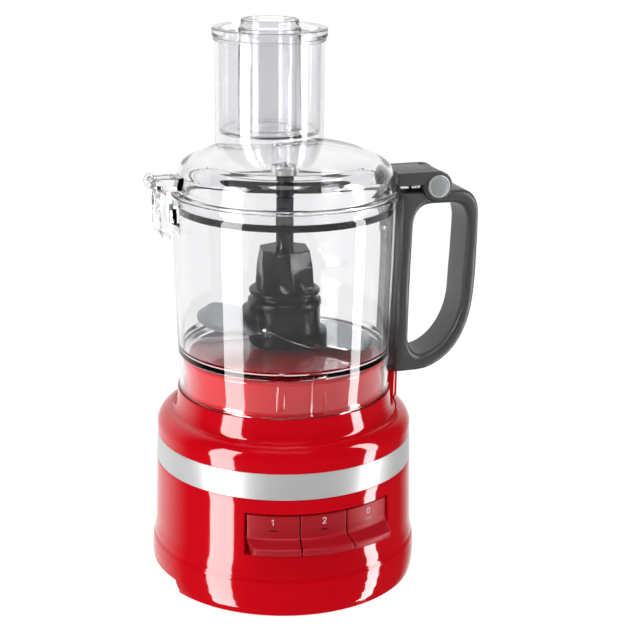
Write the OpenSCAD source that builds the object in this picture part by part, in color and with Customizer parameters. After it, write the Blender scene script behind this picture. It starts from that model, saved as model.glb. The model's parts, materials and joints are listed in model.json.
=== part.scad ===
// Upright kitchen food processor: motor base, clear bowl with handle,
// hinged lid with feed tube, pushers and two-level blade.
// Z is the drive axis, z = 0 is the surface that the feet stand on,
// +X points to the handle and -Y to the buttons.

/* [Base] */
// Radius of the base wall at the lower edge of the trim band
base_r = 92.6; // [91:0.1:94]
// Radius of the flared skirt at its widest
skirt_r = 96.8; // [95.5:0.1:98]
// Height of the gap under the skirt's edge
skirt_gap = 1.5; // [1:0.1:3]
// Wall of the moulded housing
housing_wall = 2.6; // [2:0.1:3]
// Lower edge of the trim band
band_z = 87.2; // [85:0.1:89]
// Height of the trim band
band_h = 19.1; // [16:0.1:20]
// Height of the ledge that the bowl stands on
seat_z = 139.5; // [138:0.1:140]
// Height of the raised drum inside the bowl's skirt
drum_z = 164.5; // [160:0.1:165.5]
// Angle that the lifting recess starts at, from the front
grip_angle = 68; // [60:1:75]

/* [Buttons] */
// Half of the angle that the three buttons span
button_half_angle = 33.9; // [30:0.1:36]
// Angle between the left and middle buttons
split_left = -10.5; // [-12:0.1:-9]
// Angle between the middle and right buttons
split_right = 10.8; // [9:0.1:12]
// Lower edge of the button window
button_z = 46.5; // [44:0.1:48]
// Height of the button window
button_h = 29.3; // [28:0.1:31]
// Radius that the paddle lips reach
lip_r = 104.2; // [100:0.1:106]

/* [Bowl] */
// Outer radius of the bowl at its foot
bowl_foot_r = 75; // [74.5:0.1:75.5]
// Outer radius of the bowl near its rim
bowl_top_r = 79.2; // [79:0.1:79.6]
// Wall of the bowl
bowl_wall = 2.4; // [2.2:0.1:2.5]
// Underside of the bowl's floor
floor_z = 167.6; // [167:0.1:168.5]
// Height of the bowl's rim
rim_z = 283.5; // [283:0.1:284]

/* [Lid] */
// Height of the dome's crown
dome_z = 316.5; // [315:0.1:318]
// Wall of the lid
lid_wall = 2.4; // [2:0.1:2.6]
// Outer radius of the feed tube
tube_r = 39; // [38.5:0.1:39.2]
// Distance from the drive axis back to the feed tube's centre
tube_y = 36.8; // [36:0.1:37]
// Height of the feed tube's rim
tube_z = 385.5; // [380:0.5:390]
// Outer radius of the large pusher's flange
flange_r = 41; // [41:0.1:43]
// Outer radius of the small pusher
small_r = 19.9; // [18:0.1:20.2]
// Height of the small pusher's lip
top_z = 397.3; // [396:0.1:400]

/* [Handle and hinge] */
// Half of the handle's depth
handle_half = 17; // [15:0.5:18]
// Half of the hinge arm's depth
arm_half = 18; // [17.5:0.5:19]
// Distance from the drive axis to the hinge pin
pivot_x = 109; // [108.5:0.1:109.5]
// Height of the hinge pin
pivot_z = 282.5; // [282.2:0.1:283]
// Radius of the hinge pin
pin_r = 3; // [2.5:0.1:3.5]

/* [Blade] */
// Thickness of the blades
blade_t = 1.6; // [1.2:0.1:2]
// Underside of the lower blade
lower_blade_z = 174; // [173:0.5:176]
// Underside of the upper blade
upper_blade_z = 190; // [188:0.5:192]
// Radius of the hub's lower body
hub_r = 25.6; // [25:0.1:27]
// Radius of the drive stem above the hub
stem_r = 6.2; // [6:0.1:6.5]

/* [Drive] */
// Radius of the drive spindle
spindle_r = 6; // [5.5:0.1:6.2]
// Distance from the spindle back to the motor shaft
motor_y = 46; // [45.5:0.5:47]
// Radius of the spindle's pulley
big_pulley_r = 34; // [32:0.5:34]
// Radius of the motor's pulley
small_pulley_r = 8.5; // [8:0.1:9]

/* [Hidden] */
$fn = 96;

gap = 0.3;              // clearance between moving parts
fit = 0.05;             // radial clearance of a running fit
touch = 0.02;           // clearance of a part held in its seat
cut = 1;                // overrun of every cutting tool
band_depth = 1.4;
band_top = band_z + band_h;
shoulder_r = 11.9;      // radius of the base's rounded shoulder
shoulder_c = [80.1, 112.5];
drum_r = 70.8;
boss_r = 10.6;          // spindle boss on top of the drum
boss_top = 178;
pillar_r = 4.5;
pillar_at = 78;
chassis_z = 40;
chassis_t = 3;
cover_z = 4;
cover_t = 2.5;
grip_h = 10.5;          // height of the lifting recess
foot_ring_r = 67.5;      // middle of the rubber foot ring
foot_half = 3.5;
bearing_in = spindle_r + touch;
belt_w = 7;
belt_t = 2;
belt_z = 22;
pulley_z = 20;
pulley_h = 11;
stator_z = 60;
stator_h = 36;
core_r = 21;
shaft_r = 4;
plunger_x = 82.5;
rod_x = 85.3;
rod_r = 2;
tower_r = 6;
tower_x = 82;
tower_top = 142.6;
handle_foot_z = 144.2;
handle_top_z = 278.8;
knuckle_r = 10.5;
knuckle_half = 11.6;
cheek_r = 10.9;
arm_top = pivot_z + cheek_r;
arm_bottom = 283.9;
tongue_top = 285.4;
tongue_half = 12;
cap_r = 8.3;
latch_pivot = [-93.5, 293];
latch_half = 13.5;
latch_lug_half = 9;
latch_ear_r = 4.8;
gasket_r = 76.2;
boss_hang_z = 293;
lid_boss_r = 9.5;
bowl_tube_r = 13.6;
bowl_tube_top = 214;
paddle_gap = 0.26;       // angle left free at each end of a button
paddle_pin_at = [88.4, 73.4]; // radius and height of the button's hinge line
socket_z = 216;
hub_top = 241.5;
hub_foot = 171.6;
pusher_foot = 318.2;
flange_z = 391.5;

// Point on a circle in the profile plane.
function arc(c, r, a0, a1, n) =
  [for (i = [0:n]) let (a = a0 + (a1 - a0) * i / n) [c[0] + r * cos(a), c[1] + r * sin(a)]];

// Cubic Bezier curve through its first and last points.
function bez(a, b, c, d, n) =
  [for (i = [0:n]) let (t = i / n, u = 1 - t)
    u * u * u * a + 3 * u * u * t * b + 3 * u * t * t * c + t * t * t * d];

// Profile pulled in by a wall, for the inside of a shell.
function inset(points, wall) = [for (p = points) [max(p[0] - wall, 0), p[1]]];

function front(a, r, z) = [r * sin(a), -r * cos(a), z];

base_profile = concat(
  [[skirt_r - 1.5, skirt_gap], [skirt_r - 0.5, skirt_gap + 4.5]],
  [[skirt_r, 12], [skirt_r, 19], [skirt_r - 0.6, 26.5]],
  [[base_r + 2.5, 28.8], [base_r + 2.3, 31.5], [base_r + 1.6, 36.5], [base_r + 1.3, 42]],
  [[base_r + 0.6, 66.5], [base_r, band_z], [base_r - 0.6, band_top]],
  arc(shoulder_c, shoulder_r, 6, 80, 12),
  bez([81, 123.6], [78, 124.5], [77, 131], [76.8, seat_z], 8));
base_inside = concat(
  [[skirt_r - 1.5, skirt_gap], [skirt_r - 0.5, skirt_gap + 4.5]],
  [[skirt_r, 12], [skirt_r, 19], [skirt_r - 0.6, 26.5]],
  [[base_r + 2.5, 28.8], [base_r + 1.3, 42], [base_r + 0.6, 66.5]],
  [[base_r - band_depth, band_z - 2], [base_r - band_depth - 0.6, band_top]],
  arc(shoulder_c - [0, 1.3], shoulder_r - 1.3, 0, 70, 8));
bowl_profile = [
  [bowl_foot_r + 1, seat_z + 0.2], [bowl_foot_r + 1, seat_z + 1.2], [bowl_foot_r + 0.2, seat_z + 2.5],
  [bowl_foot_r, 143.5], [76, 158.5], [76.5, 173.5], [77.4, 203.5], [78.4, 233.5],
  [78.8, 255], [bowl_top_r, 276], [80, 280.5], [80, rim_z]];
lid_profile = concat(
  [[80, rim_z + 0.3], [80, rim_z + 2], [77.8, rim_z + 2.9], [77.4, 289], [76.2, 293]],
  bez([75.4, 297], [74.8, 301.5], [71, 304], [67, 305.2], 8),
  bez([64, 306.6], [57, 311], [46, 315], [0, dome_z], 14));
handle_outline = concat(
  [[79.4, handle_foot_z], [98, handle_foot_z]],
  bez([104, 144.8], [122, 149.5], [137, 165], [140.6, 195], 14),
  bez([141.2, 201], [142.4, 217], [142.8, 235], [142.6, 252], 6),
  bez([142.4, 262], [141.6, 272], [137, 277.8], [128, 278.2], 8),
  [[82.3, handle_top_z]]);
finger_hole = concat(
  bez([90, 172], [90, 163], [94.5, 156.2], [101, 156.2], 6),
  bez([104, 156.6], [118, 160], [130.5, 176], [132, 198], 10),
  bez([134.2, 250], [134.2, 262], [130.5, 268.9], [122, 269.2], 6),
  bez([106, 269.4], [97, 269], [91.8, 264], [91.6, 252], 6));

// Ring around the drive axis.
module ring(r_out, r_in, z, h) {
  translate([0, 0, z]) difference() {
    cylinder(r = r_out, h = h);
    translate([0, 0, -cut]) cylinder(r = r_in, h = h + 2 * cut);
  }
}

// Cylinder whose axis runs along Y, centred on the X-Z plane.
module along_y(x, z, r, half) {
  translate([x, half, z]) rotate([90, 0, 0]) cylinder(r = r, h = 2 * half);
}

// Outline in the X-Z plane, extruded to both sides of it.
module slab(points, half) {
  translate([0, half, 0]) rotate([90, 0, 0]) linear_extrude(2 * half) polygon(points);
}

// Solid of revolution under a profile that starts low and ends high.
module turned(points) {
  low = points[0][1];
  high = points[len(points) - 1][1];
  on_axis = points[len(points) - 1][0] == 0;
  rotate_extrude() polygon(concat([[0, low]], points, on_axis ? [] : [[0, high]]));
}

module at_pillars(start = 45) {
  for (a = [start:90:start + 270]) rotate([0, 0, a]) translate([pillar_at, 0, 0]) children();
}

// Wedge that covers a lifting recess on the side given by its sign.
module grip_wedge(side, r_in, r_out, z, h) {
  translate([0, 0, z])
    rotate_extrude(angle = 2 * (90 - grip_angle), start = (side > 0 ? 0 : 180) - (90 - grip_angle))
      polygon([[r_in, 0], [r_out, 0], [r_out, h], [r_in, h]]);
}

// ---- base ----

module base_housing() {
  color([0.80, 0.03, 0.08]) difference() {
    union() {
      turned(base_profile);
      translate([0, 0, seat_z - cut]) cylinder(r = drum_r, h = drum_z - 1.5 - seat_z + cut);
      translate([0, 0, drum_z - 1.5]) cylinder(r1 = drum_r, r2 = drum_r - 1.5, h = 1.5);
      translate([0, 0, seat_z]) cylinder(r = boss_r, h = boss_top - seat_z);
      translate([70, -tower_r, 118]) cube([tower_x - 70, 2 * tower_r, tower_top - 118]);
      translate([tower_x, 0, 118]) cylinder(r = tower_r, h = tower_top - 118);
    }
    difference() {
      union() {
        translate([0, 0, -0.5]) turned(inset(base_inside, housing_wall));
        translate([0, 0, 100]) cylinder(r = 74.2, h = 37 - housing_wall);
        translate([0, 0, 120]) cylinder(r = drum_r - housing_wall, h = drum_z - housing_wall - 120);
      }
      translate([0, 0, 143]) cylinder(r = boss_r + 3, h = 30);
      at_pillars() translate([0, 0, chassis_z + chassis_t]) cylinder(r = pillar_r, h = 100);
      translate([tower_x - 8, -tower_r, 112]) cube([14, 2 * tower_r, 30]);
    }
    translate([0, 0, band_z]) difference() {
      cylinder(r = base_r + cut, h = band_h);
      translate([0, 0, -cut])
        cylinder(r1 = base_r - band_depth, r2 = base_r - band_depth - 0.6, h = band_h + 2 * cut);
    }
    translate([0, 0, 130]) cylinder(r = spindle_r + 1.5, h = 60);
    translate([0, 0, 140]) cylinder(r = 10 + touch, h = 18);
    translate([plunger_x, 0, 100]) cylinder(r = 2.5 + fit, h = 60);
    translate([plunger_x, 0, 100]) cylinder(r = 3.5, h = 36);
    at_pillars() translate([0, 0, chassis_z]) cylinder(r = 1.75, h = 40);
    rotate_extrude(angle = 2 * button_half_angle + 0.6, start = -90 - button_half_angle - 0.3)
      polygon([[80, button_z - 0.3], [110, button_z - 0.3],
        [110, button_z + button_h + 0.3], [80, button_z + button_h + 0.3]]);
    for (side = [-1, 1]) grip_wedge(side, 80, 110, -cut, grip_h + cut);
    translate([0, 80, 20]) rotate([-90, 0, 0]) cylinder(r = 7 + touch, h = 30);
  }
}

module trim_band() {
  color([0.78, 0.79, 0.79]) translate([0, 0, band_z + touch]) difference() {
    cylinder(r1 = base_r, r2 = base_r - 0.6, h = band_h - 2 * touch);
    translate([0, 0, -cut])
      cylinder(r1 = base_r - band_depth + touch, r2 = base_r - band_depth - 0.6 + touch, h = band_h + 2 * cut);
  }
}

module bottom_cover() {
  disc_r = skirt_r - housing_wall - 1.6;
  color([0.13, 0.13, 0.14]) difference() {
    union() {
      translate([0, 0, cover_z]) cylinder(r = disc_r, h = cover_t);
      at_pillars() translate([0, 0, cover_z]) cylinder(r = pillar_r, h = chassis_z - cover_z);
      for (side = [-1, 1]) {
        grip_wedge(side, 66, disc_r, cover_z, grip_h + 2.2 - cover_z);
      }
    }
    for (side = [-1, 1]) difference() {
      grip_wedge(side, 72, disc_r + cut, -cut, grip_h + cut);
      at_pillars() cylinder(r = pillar_r + 2, h = 20);
    }
    at_pillars() translate([0, 0, -cut]) cylinder(r = 1.75, h = 60);
    at_pillars() translate([0, 0, -cut]) cylinder(r = 3.4, h = cover_z + 2.65 + cut);
    for (x = [-30:10:30]) translate([x - 2, 20, -cut]) cube([4, 34, 20]);
    for (x = [-20:10:20]) translate([x - 2, -58, -cut]) cube([4, 26, 20]);
    for (a = [0:90:270]) rotate([0, 0, a + 45]) translate([foot_ring_r, 0, -cut])
      cylinder(r = 3 + touch, h = 20);
  }
}

module rubber_feet() {
  color([0.08, 0.08, 0.08]) {
    ring(foot_ring_r + foot_half, foot_ring_r - foot_half, 0, cover_z);
    for (a = [0:90:270]) rotate([0, 0, a + 45]) translate([foot_ring_r, 0, 0]) {
      translate([0, 0, 1]) cylinder(r = 3, h = cover_z + cover_t - 1);
      translate([0, 0, cover_z + cover_t]) cylinder(r1 = 3.8, r2 = 2.4, h = 2);
    }
  }
}

module cover_screws() {
  color([0.6, 0.6, 0.62]) at_pillars() translate([0, 0, cover_z + 0.6]) {
    cylinder(r = 3.2, h = 2);
    cylinder(r = 1.7, h = 64);
  }
}

module cord_inlet() {
  color([0.1, 0.1, 0.1]) translate([0, 86, 20]) rotate([-90, 0, 0]) difference() {
    union() {
      cylinder(r = 9, h = 4);
      cylinder(r = 7, h = 12);
    }
    translate([0, 0, -cut]) cylinder(r = 3.6, h = 20);
  }
}

module chassis_plate() {
  color([0.55, 0.56, 0.58]) translate([0, 0, chassis_z]) difference() {
    union() {
      cylinder(r = 84, h = chassis_t);
      translate([0, 0, -5]) cylinder(r = 17, h = 12);
    }
    translate([0, 0, -10]) cylinder(r = spindle_r + 1.5, h = 40);
    translate([0, 0, -2]) cylinder(r = 13 + touch, h = 20);
    translate([0, motor_y, -10]) cylinder(r = 12, h = 40);
    at_pillars() translate([0, 0, -10]) cylinder(r = 1.75, h = 40);
    at_motor_corners() translate([0, 0, -10]) cylinder(r = 2 + touch, h = 40);
    for (x = [-1, 1]) translate([x * 56, -10, -10]) cylinder(r = 16, h = 40);
  }
}

module at_motor_corners() {
  for (x = [-1, 1], y = [-1, 1]) translate([x * 18, motor_y + y * 24.5, 0]) children();
}

module motor_screws() {
  color([0.62, 0.62, 0.64]) at_motor_corners() translate([0, 0, chassis_z - 3]) {
    cylinder(r = 3.6, h = 3);
    cylinder(r = 2, h = 84);
  }
}

module motor_stator() {
  color([0.42, 0.42, 0.44]) translate([0, motor_y, stator_z]) difference() {
    linear_extrude(stator_h) polygon(concat(
      arc([30, 22], 7, 0, 90, 6), arc([-30, 22], 7, 90, 180, 6),
      arc([-30, -22], 7, 180, 270, 6), arc([30, -22], 7, 270, 360, 6)));
    translate([0, 0, -cut]) cylinder(r = core_r + 0.6, h = stator_h + 2 * cut);
    for (x = [-1, 1]) translate([x * 27, 0, -cut]) linear_extrude(stator_h + 2 * cut)
      square([8, 26], center = true);
    for (x = [-1, 1], y = [-1, 1]) translate([x * 18, y * 24.5, -cut])
      cylinder(r = 2 + touch, h = stator_h + 2 * cut);
  }
}

module field_coils() {
  color([0.62, 0.32, 0.14]) for (x = [-1, 1])
    translate([x * 27 - 3.9, motor_y - 12.9, stator_z - 3]) cube([7.8, 25.8, stator_h + 6]);
}

module motor_bracket(z, half_x) {
  color([0.66, 0.67, 0.68]) translate([0, motor_y, z]) difference() {
    translate([-half_x, -28, 0]) cube([2 * half_x, 56, 3]);
    translate([0, 0, -cut]) cylinder(r = 7.5 + touch, h = 6);
    for (x = [-1, 1], y = [-1, 1]) translate([x * 18, y * 24.5, -cut]) cylinder(r = 2 + touch, h = 6);
    for (y = [-1, 1]) translate([-6, y * 16 - 4, -cut]) cube([12, 8, 6]);
  }
}

module upper_motor_bracket() {
  motor_bracket(114, 23);
}

module lower_motor_bracket() {
  motor_bracket(53, 34);
}

module motor_bushes() {
  color([0.72, 0.55, 0.25]) for (z = [52, 113]) translate([0, motor_y, 0])
    ring(7.5, shaft_r + fit, z, 5);
}

module carbon_brushes() {
  color([0.15, 0.15, 0.16]) for (s = [-1, 1]) translate([s * 16.5 - 5, motor_y - 3, 103.5]) cube([10, 6, 6]);
}

module upper_spindle_bearing() {
  color([0.75, 0.76, 0.78]) ring(10, bearing_in, 150, 8);
}

module lower_spindle_bearing() {
  color([0.75, 0.76, 0.78]) ring(13, bearing_in, chassis_z - 2, 9);
}

module shaft_seal() {
  color([0.1, 0.1, 0.1]) ring(spindle_r + 1.48, spindle_r + gap, 172, 4);
}

module belt_loop(grow) {
  hull() {
    circle(r = big_pulley_r + grow, $fn = 64);
    translate([0, motor_y]) circle(r = small_pulley_r + grow, $fn = 64);
  }
}

module drive_belt() {
  color([0.12, 0.12, 0.13]) translate([0, 0, belt_z]) linear_extrude(belt_w) difference() {
    belt_loop(gap + belt_t);
    belt_loop(gap);
  }
}

module switch_bracket() {
  color([0.2, 0.2, 0.21]) translate([0, 0, chassis_z + chassis_t])
    rotate_extrude(angle = 64, start = -122)
      polygon([[77, 0], [79, 0], [79, 36], [77, 36]]);
}

module at_buttons() {
  for (a = button_angles) rotate([0, 0, a]) children();
}

button_angles = [(split_left - button_half_angle) / 2, (split_left + split_right) / 2,
  (split_right + button_half_angle) / 2];

module button_switches() {
  color([0.9, 0.9, 0.86]) at_buttons() {
    translate([-10, -85.5, 62]) cube([20, 6, 9]);
    translate([-2, -86.6, 65]) cube([4, 2, 3]);
  }
}

module button_leaf_springs() {
  color([0.7, 0.7, 0.72]) at_buttons() for (x = [-11, 7]) translate([x, -85.6, 50]) {
    cube([4, 0.4, 9]);
    translate([0, 0, 8.6]) cube([4, 6.2, 0.4]);
  }
}

module control_board() {
  color([0.1, 0.35, 0.2]) translate([-30, -70, chassis_z + chassis_t]) cube([60, 1.6, 34]);
}

module interlock_switch() {
  color([0.9, 0.9, 0.86]) translate([plunger_x - 13, -8, 92]) cube([14, 16, 11]);
}

module interlock_spring() {
  color([0.7, 0.7, 0.72]) translate([plunger_x, 0, 0]) ring(3.2, 2.6, 122, 13.6);
}

// ---- motor rotor ----

module motor_shaft() {
  color([0.75, 0.76, 0.78]) translate([0, motor_y, 17]) cylinder(r = shaft_r, h = 105);
}

module armature_core() {
  color([0.5, 0.42, 0.36]) translate([0, motor_y, 0]) {
    difference() {
      ring(core_r, shaft_r + touch, stator_z, stator_h);
      for (a = [0:30:330]) rotate([0, 0, a]) translate([core_r - 5, -1.4, stator_z - cut])
        cube([8, 2.8, stator_h + 2 * cut]);
    }
  }
}

module commutator() {
  color([0.72, 0.45, 0.2]) translate([0, motor_y, 0]) ring(11, shaft_r + touch, 100, 12);
}

module cooling_fan() {
  color([0.85, 0.85, 0.82]) translate([0, motor_y, 0]) {
    ring(9, shaft_r + touch, 44.5, 7);
    ring(25, 8, 44.5, 1.2);
    for (a = [0:40:320]) rotate([0, 0, a]) translate([8.5, -0.6, 45]) cube([16, 1.2, 6.5]);
  }
}

module toothed_pulley(r, bore) {
  ring(r, bore, pulley_z, pulley_h);
  ring(r + 1.5, bore, pulley_z, 1.6);
  ring(r + 1.5, bore, pulley_z + pulley_h - 1.6, 1.6);
}

module motor_pulley() {
  color([0.75, 0.76, 0.78]) translate([0, motor_y, 0])
    toothed_pulley(small_pulley_r, shaft_r + touch);
}

// ---- spindle ----

module drive_spindle() {
  color([0.75, 0.76, 0.78]) difference() {
    union() {
      translate([0, 0, 14]) cylinder(r = spindle_r, h = 192);
      translate([0, 0, 205]) cylinder(r = spindle_r, h = 26, $fn = 6);
    }
    ring(spindle_r + cut, spindle_r - 0.6, 17, 1.2);
  }
}

module spindle_pulley() {
  color([0.25, 0.25, 0.27]) difference() {
    toothed_pulley(big_pulley_r, spindle_r + touch);
    for (a = [0:60:300]) rotate([0, 0, a]) translate([20, 0, 10]) cylinder(r = 6.5, h = 30);
  }
}

module spindle_circlip() {
  color([0.7, 0.7, 0.72]) difference() {
    ring(9, spindle_r - 0.58, 17 + touch, 1.1);
    translate([-1.5, 0, 16]) cube([3, 20, 4]);
  }
}

// ---- buttons ----

// One paddle between two angles; a slanted end is cut on the sides that are asked for.
module paddle(a0, a1, end_low, end_high) {
  low = a0 + paddle_gap;
  high = a1 - paddle_gap;
  face_top = button_z + button_h;
  color([0.70, 0.10, 0.16]) difference() {
    union() {
      rotate([0, 0, (low + high) / 2]) translate([-10, -paddle_pin_at[0], paddle_pin_at[1]])
        rotate([0, 90, 0]) cylinder(r = 1.5, h = 20);
      rotate_extrude(angle = high - low, start = low - 90)
        polygon([[88, button_z + 0.4], [101.8, button_z + 3], [103.6, button_z + 4.2], [lip_r, button_z + 8],
          [103.4, button_z + 8.9], [94, button_z + 11.4], [92.2, button_z + 13.4], [91.9, face_top - 0.4],
          [88, face_top - 0.4]]);
    }
    if (end_low) paddle_end(-1);
    if (end_high) paddle_end(1);
  }
}

// Cutting block whose face leans from the window's side to the lip's corner.
module paddle_end(side) {
  inner = front(side * (button_half_angle - 0.2), 92.6, 0);
  outer = front(side * 28.9, lip_r, 0);
  lean = atan2(outer[1] - inner[1], outer[0] - inner[0]);
  translate([inner[0], inner[1], button_z - cut]) rotate([0, 0, lean])
    translate([-1, side > 0 ? 0 : -30, 0]) cube([40, 30, button_h + 2 * cut]);
}

module button_1() {
  paddle(-button_half_angle, split_left, true, false);
}

module button_2() {
  paddle(split_left, split_right, false, false);
}

module button_pulse() {
  paddle(split_right, button_half_angle, false, true);
}

module interlock_plunger() {
  color([0.9, 0.9, 0.88]) translate([plunger_x, 0, 0]) {
    translate([0, 0, 109]) cylinder(r = 2.5, h = tower_top + 0.6 - 109);
    translate([0, 0, 109]) cylinder(r = 3.2, h = 12.6);
  }
}

// ---- bowl ----

module bowl() {
  color([0.85, 0.90, 0.92, 0.45]) difference() {
    union() {
      difference() {
        turned(bowl_profile);
        translate([0, 0, -1]) intersection() {
          turned(inset(bowl_profile, bowl_wall));
          cylinder(r = 200, h = floor_z + 1);
        }
        intersection() {
          turned(inset(concat(bowl_profile, [[80, rim_z + 5]]), bowl_wall));
          translate([0, 0, floor_z + 2.6]) cylinder(r = 200, h = 200);
        }
      }
      translate([0, 0, floor_z]) cylinder(r = bowl_tube_r, h = bowl_tube_top - floor_z);
      bowl_catch();
      for (z = [150, 252]) translate([74, -7, z]) cube([z > 200 ? 8 : 6.2, 14, 10]);
    }
    translate([0, 0, floor_z - cut]) cylinder(r = bowl_tube_r - 1.8, h = 60);
    for (z = [150, 252]) translate([70, 0, z + 5]) rotate([0, 90, 0]) cylinder(r = 1.6, h = 20);
    translate([66, -tower_r - gap, seat_z - cut])
      cube([14, 2 * (tower_r + gap), tower_top + gap - seat_z + cut]);
    translate([0, 0, floor_z + 2.6]) difference() {
      cylinder(r = 73, h = 60);
      translate([0, 0, -cut]) cylinder(r = 72, h = 70);
    }
  }
  color([0.85, 0.90, 0.92, 0.45]) {
    rotate([0, 0, -19.3]) translate([-2, -76.4, 147]) cube([4, 2, 19.5]);
    rotate([0, 0, 0.5]) translate([-5, -76.6, 141]) cube([10, 2.4, 26]);
  }
}

// Ledge on the bowl's side that the latch closes over.
module bowl_catch() {
  slab([[-76.5, 262], [-83.5, 266], [-85, 268], [-85, 276], [-76.5, 277]], 8);
}

module bowl_handle() {
  color([0.20, 0.20, 0.21]) difference() {
    union() {
      slab(handle_outline, handle_half);
      along_y(pivot_x, pivot_z, knuckle_r, knuckle_half);
    }
    slab(finger_hole, handle_half + cut);
    for (s = [-1, 1]) translate([0, s * (knuckle_half + 10), 0]) along_y(pivot_x, pivot_z, cheek_r + 0.5, 10);
    along_y(pivot_x, pivot_z, pin_r + fit, 40);
    translate([rod_x, 0, 140]) cylinder(r = rod_r + fit, h = 160);
    translate([rod_x, 0, 262]) cylinder(r = 3.6, h = 9);
    for (z = [150, 252]) translate([70, 0, z + 5]) rotate([0, 90, 0]) cylinder(r = 1.6, h = 14);
    translate([70, -7 - touch, 150 - touch]) cube([10.3, 14 + 2 * touch, 10 + 2 * touch]);
    translate([70, -7 - touch, 252 - touch]) cube([12.1, 14 + 2 * touch, 10 + 2 * touch]);
  }
}

module handle_screws() {
  color([0.6, 0.6, 0.62]) for (z = [150, 252]) translate([75.2, 0, z + 5]) rotate([0, 90, 0])
    cylinder(r = 1.55, h = 7.3);
}

module rod_spring() {
  color([0.7, 0.7, 0.72]) translate([rod_x, 0, 0]) ring(3.3, 2.5, 263, 7.5);
}

module interlock_rod() {
  color([0.9, 0.9, 0.88]) translate([rod_x, 0, handle_foot_z + 0.6])
    cylinder(r = rod_r, h = handle_top_z + 1 - handle_foot_z);
}

// ---- lid ----

module lid() {
  color([0.88, 0.92, 0.94, 0.45]) {
    difference() {
      union() {
        turned(lid_profile);
        translate([0, tube_y, 292]) cylinder(r = tube_r, h = tube_z - 292);
        translate([0, tube_y, tube_z - 2.5]) cylinder(r = tube_r + 1.2, h = 2.5);
        lid_lug();
        latch_lug();
      }
      difference() {
        translate([0, 0, -lid_wall]) turned(inset(lid_profile, lid_wall));
        translate([0, 0, boss_hang_z]) cylinder(r = lid_boss_r, h = 30);
      }
      translate([0, 0, rim_z - 3]) cylinder(r = 74, h = 6);
      translate([0, tube_y, 288]) difference() {
        cylinder(r = tube_r - 2.5, h = 120);
        translate([0, -tube_y, -cut]) cylinder(r = lid_boss_r, h = 28);
      }
      translate([0, 0, boss_hang_z - cut]) cylinder(r = 6.6 + touch, h = 9);
    }
    ring(gasket_r - 0.9, 73.6, 270.8, rim_z + 1.5 - 270.8);
  }
}

// Clear tongue under the hinge arm.
module lid_lug() {
  difference() {
    slab([[70, 280.6], [97.5, 280.6], [97.5, tongue_top], [70, tongue_top]], tongue_half);
    cylinder(r = 80.3, h = rim_z + gap);
    cylinder(r = 76.9, h = 400);
    for (x = [84, 92]) translate([x, 0, 270]) cylinder(r = 1.6, h = 40);
  }
}

// Clear lug that carries the latch's pin.
module latch_lug() {
  difference() {
    union() {
      slab([[-70, 288.6], [-93.5, 288.6], [-93.5, 297.4], [-70, 297.4]], latch_lug_half);
      along_y(latch_pivot[0], latch_pivot[1], 4.4, latch_lug_half);
    }
    cylinder(r = 73, h = 400);
    along_y(latch_pivot[0], latch_pivot[1], 1.5 + fit, 30);
  }
}

module lid_gasket() {
  color([0.06, 0.06, 0.06]) {
    ring(gasket_r, gasket_r - 0.88, 271.5, 5);
  }
}

module lid_arm() {
  color([0.20, 0.20, 0.21]) difference() {
    union() {
      translate([70, -arm_half, arm_bottom]) cube([pivot_x - 70, 2 * arm_half, arm_top - arm_bottom]);
      along_y(pivot_x, pivot_z, cheek_r, arm_half);
    }
    translate([0, 0, 250]) cylinder(r = 78.2, h = 80);
    cylinder(r = 80.1, h = rim_z + 3);
    translate([70, -tongue_half - 0.1, 250]) cube([27.6, 2 * tongue_half + 0.2, tongue_top + touch - 250]);
    along_y(pivot_x, pivot_z, knuckle_r + 0.5, knuckle_half + 0.4);
    along_y(pivot_x, pivot_z, pin_r + touch, 40);
    translate([90, -knuckle_half - 0.4, 260]) cube([60, 2 * knuckle_half + 0.8, arm_bottom - 260]);
    translate([pivot_x - 4, -knuckle_half - 0.4, 260]) cube([30, 2 * knuckle_half + 0.8, 60]);
    for (x = [84, 92]) translate([x, 0, 270]) cylinder(r = 1.6, h = 20);
  }
}

module arm_screws() {
  color([0.6, 0.6, 0.62]) for (x = [84, 92]) translate([x, 0, 280.6]) cylinder(r = 1.55, h = 9);
}

module hinge_pin() {
  color([0.72, 0.73, 0.75]) along_y(pivot_x, pivot_z, pin_r, arm_half);
}

module hinge_caps() {
  color([0.85, 0.86, 0.87]) for (s = [-1, 1]) translate([0, s * (arm_half + 0.7), 0])
    along_y(pivot_x, pivot_z, cap_r, 0.7);
}

module stem_bush() {
  color([0.80, 0.82, 0.84]) ring(6.6, 5.3, boss_hang_z + 0.2, 6);
}

module latch_lever() {
  plate_half = latch_half;
  color([0.86, 0.90, 0.92, 0.5]) difference() {
    union() {
      slab([[-92.6, 264], [-91, 257.4], [-87, 256.6], [-85.4, 258], [-85.4, 260.4], [-87, 262], [-86.6, 284],
        [-88, 287.4], [-92.6, 287.4]], plate_half);
      for (s = [-1, 1]) translate([0, s * (latch_half - 2), 0]) {
        along_y(latch_pivot[0], latch_pivot[1], latch_ear_r, 2);
        slab([[-98.2, 292], [-92.6, 280], [-88, 284], [-88.9, 293]], 2);
      }
    }
    along_y(latch_pivot[0], latch_pivot[1], 1.5 + touch, 30);
  }
}

module latch_pin() {
  color([0.72, 0.73, 0.75]) along_y(latch_pivot[0], latch_pivot[1], 1.5, latch_half);
}

// ---- pushers ----

module large_pusher() {
  color([0.88, 0.92, 0.94, 0.45]) translate([0, tube_y, 0]) difference() {
    union() {
      translate([0, 0, pusher_foot]) cylinder(r = tube_r - 3.1, h = flange_z - pusher_foot);
      translate([0, 0, tube_z + 0.2]) cylinder(r = flange_r, h = flange_z - tube_z - 0.2);
    }
    ring(tube_r - 5.1, small_r + 2.4, pusher_foot + 2.5, 100);
    translate([0, 0, 300]) cylinder(r = small_r + 0.4, h = 120);
  }
}

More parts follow.
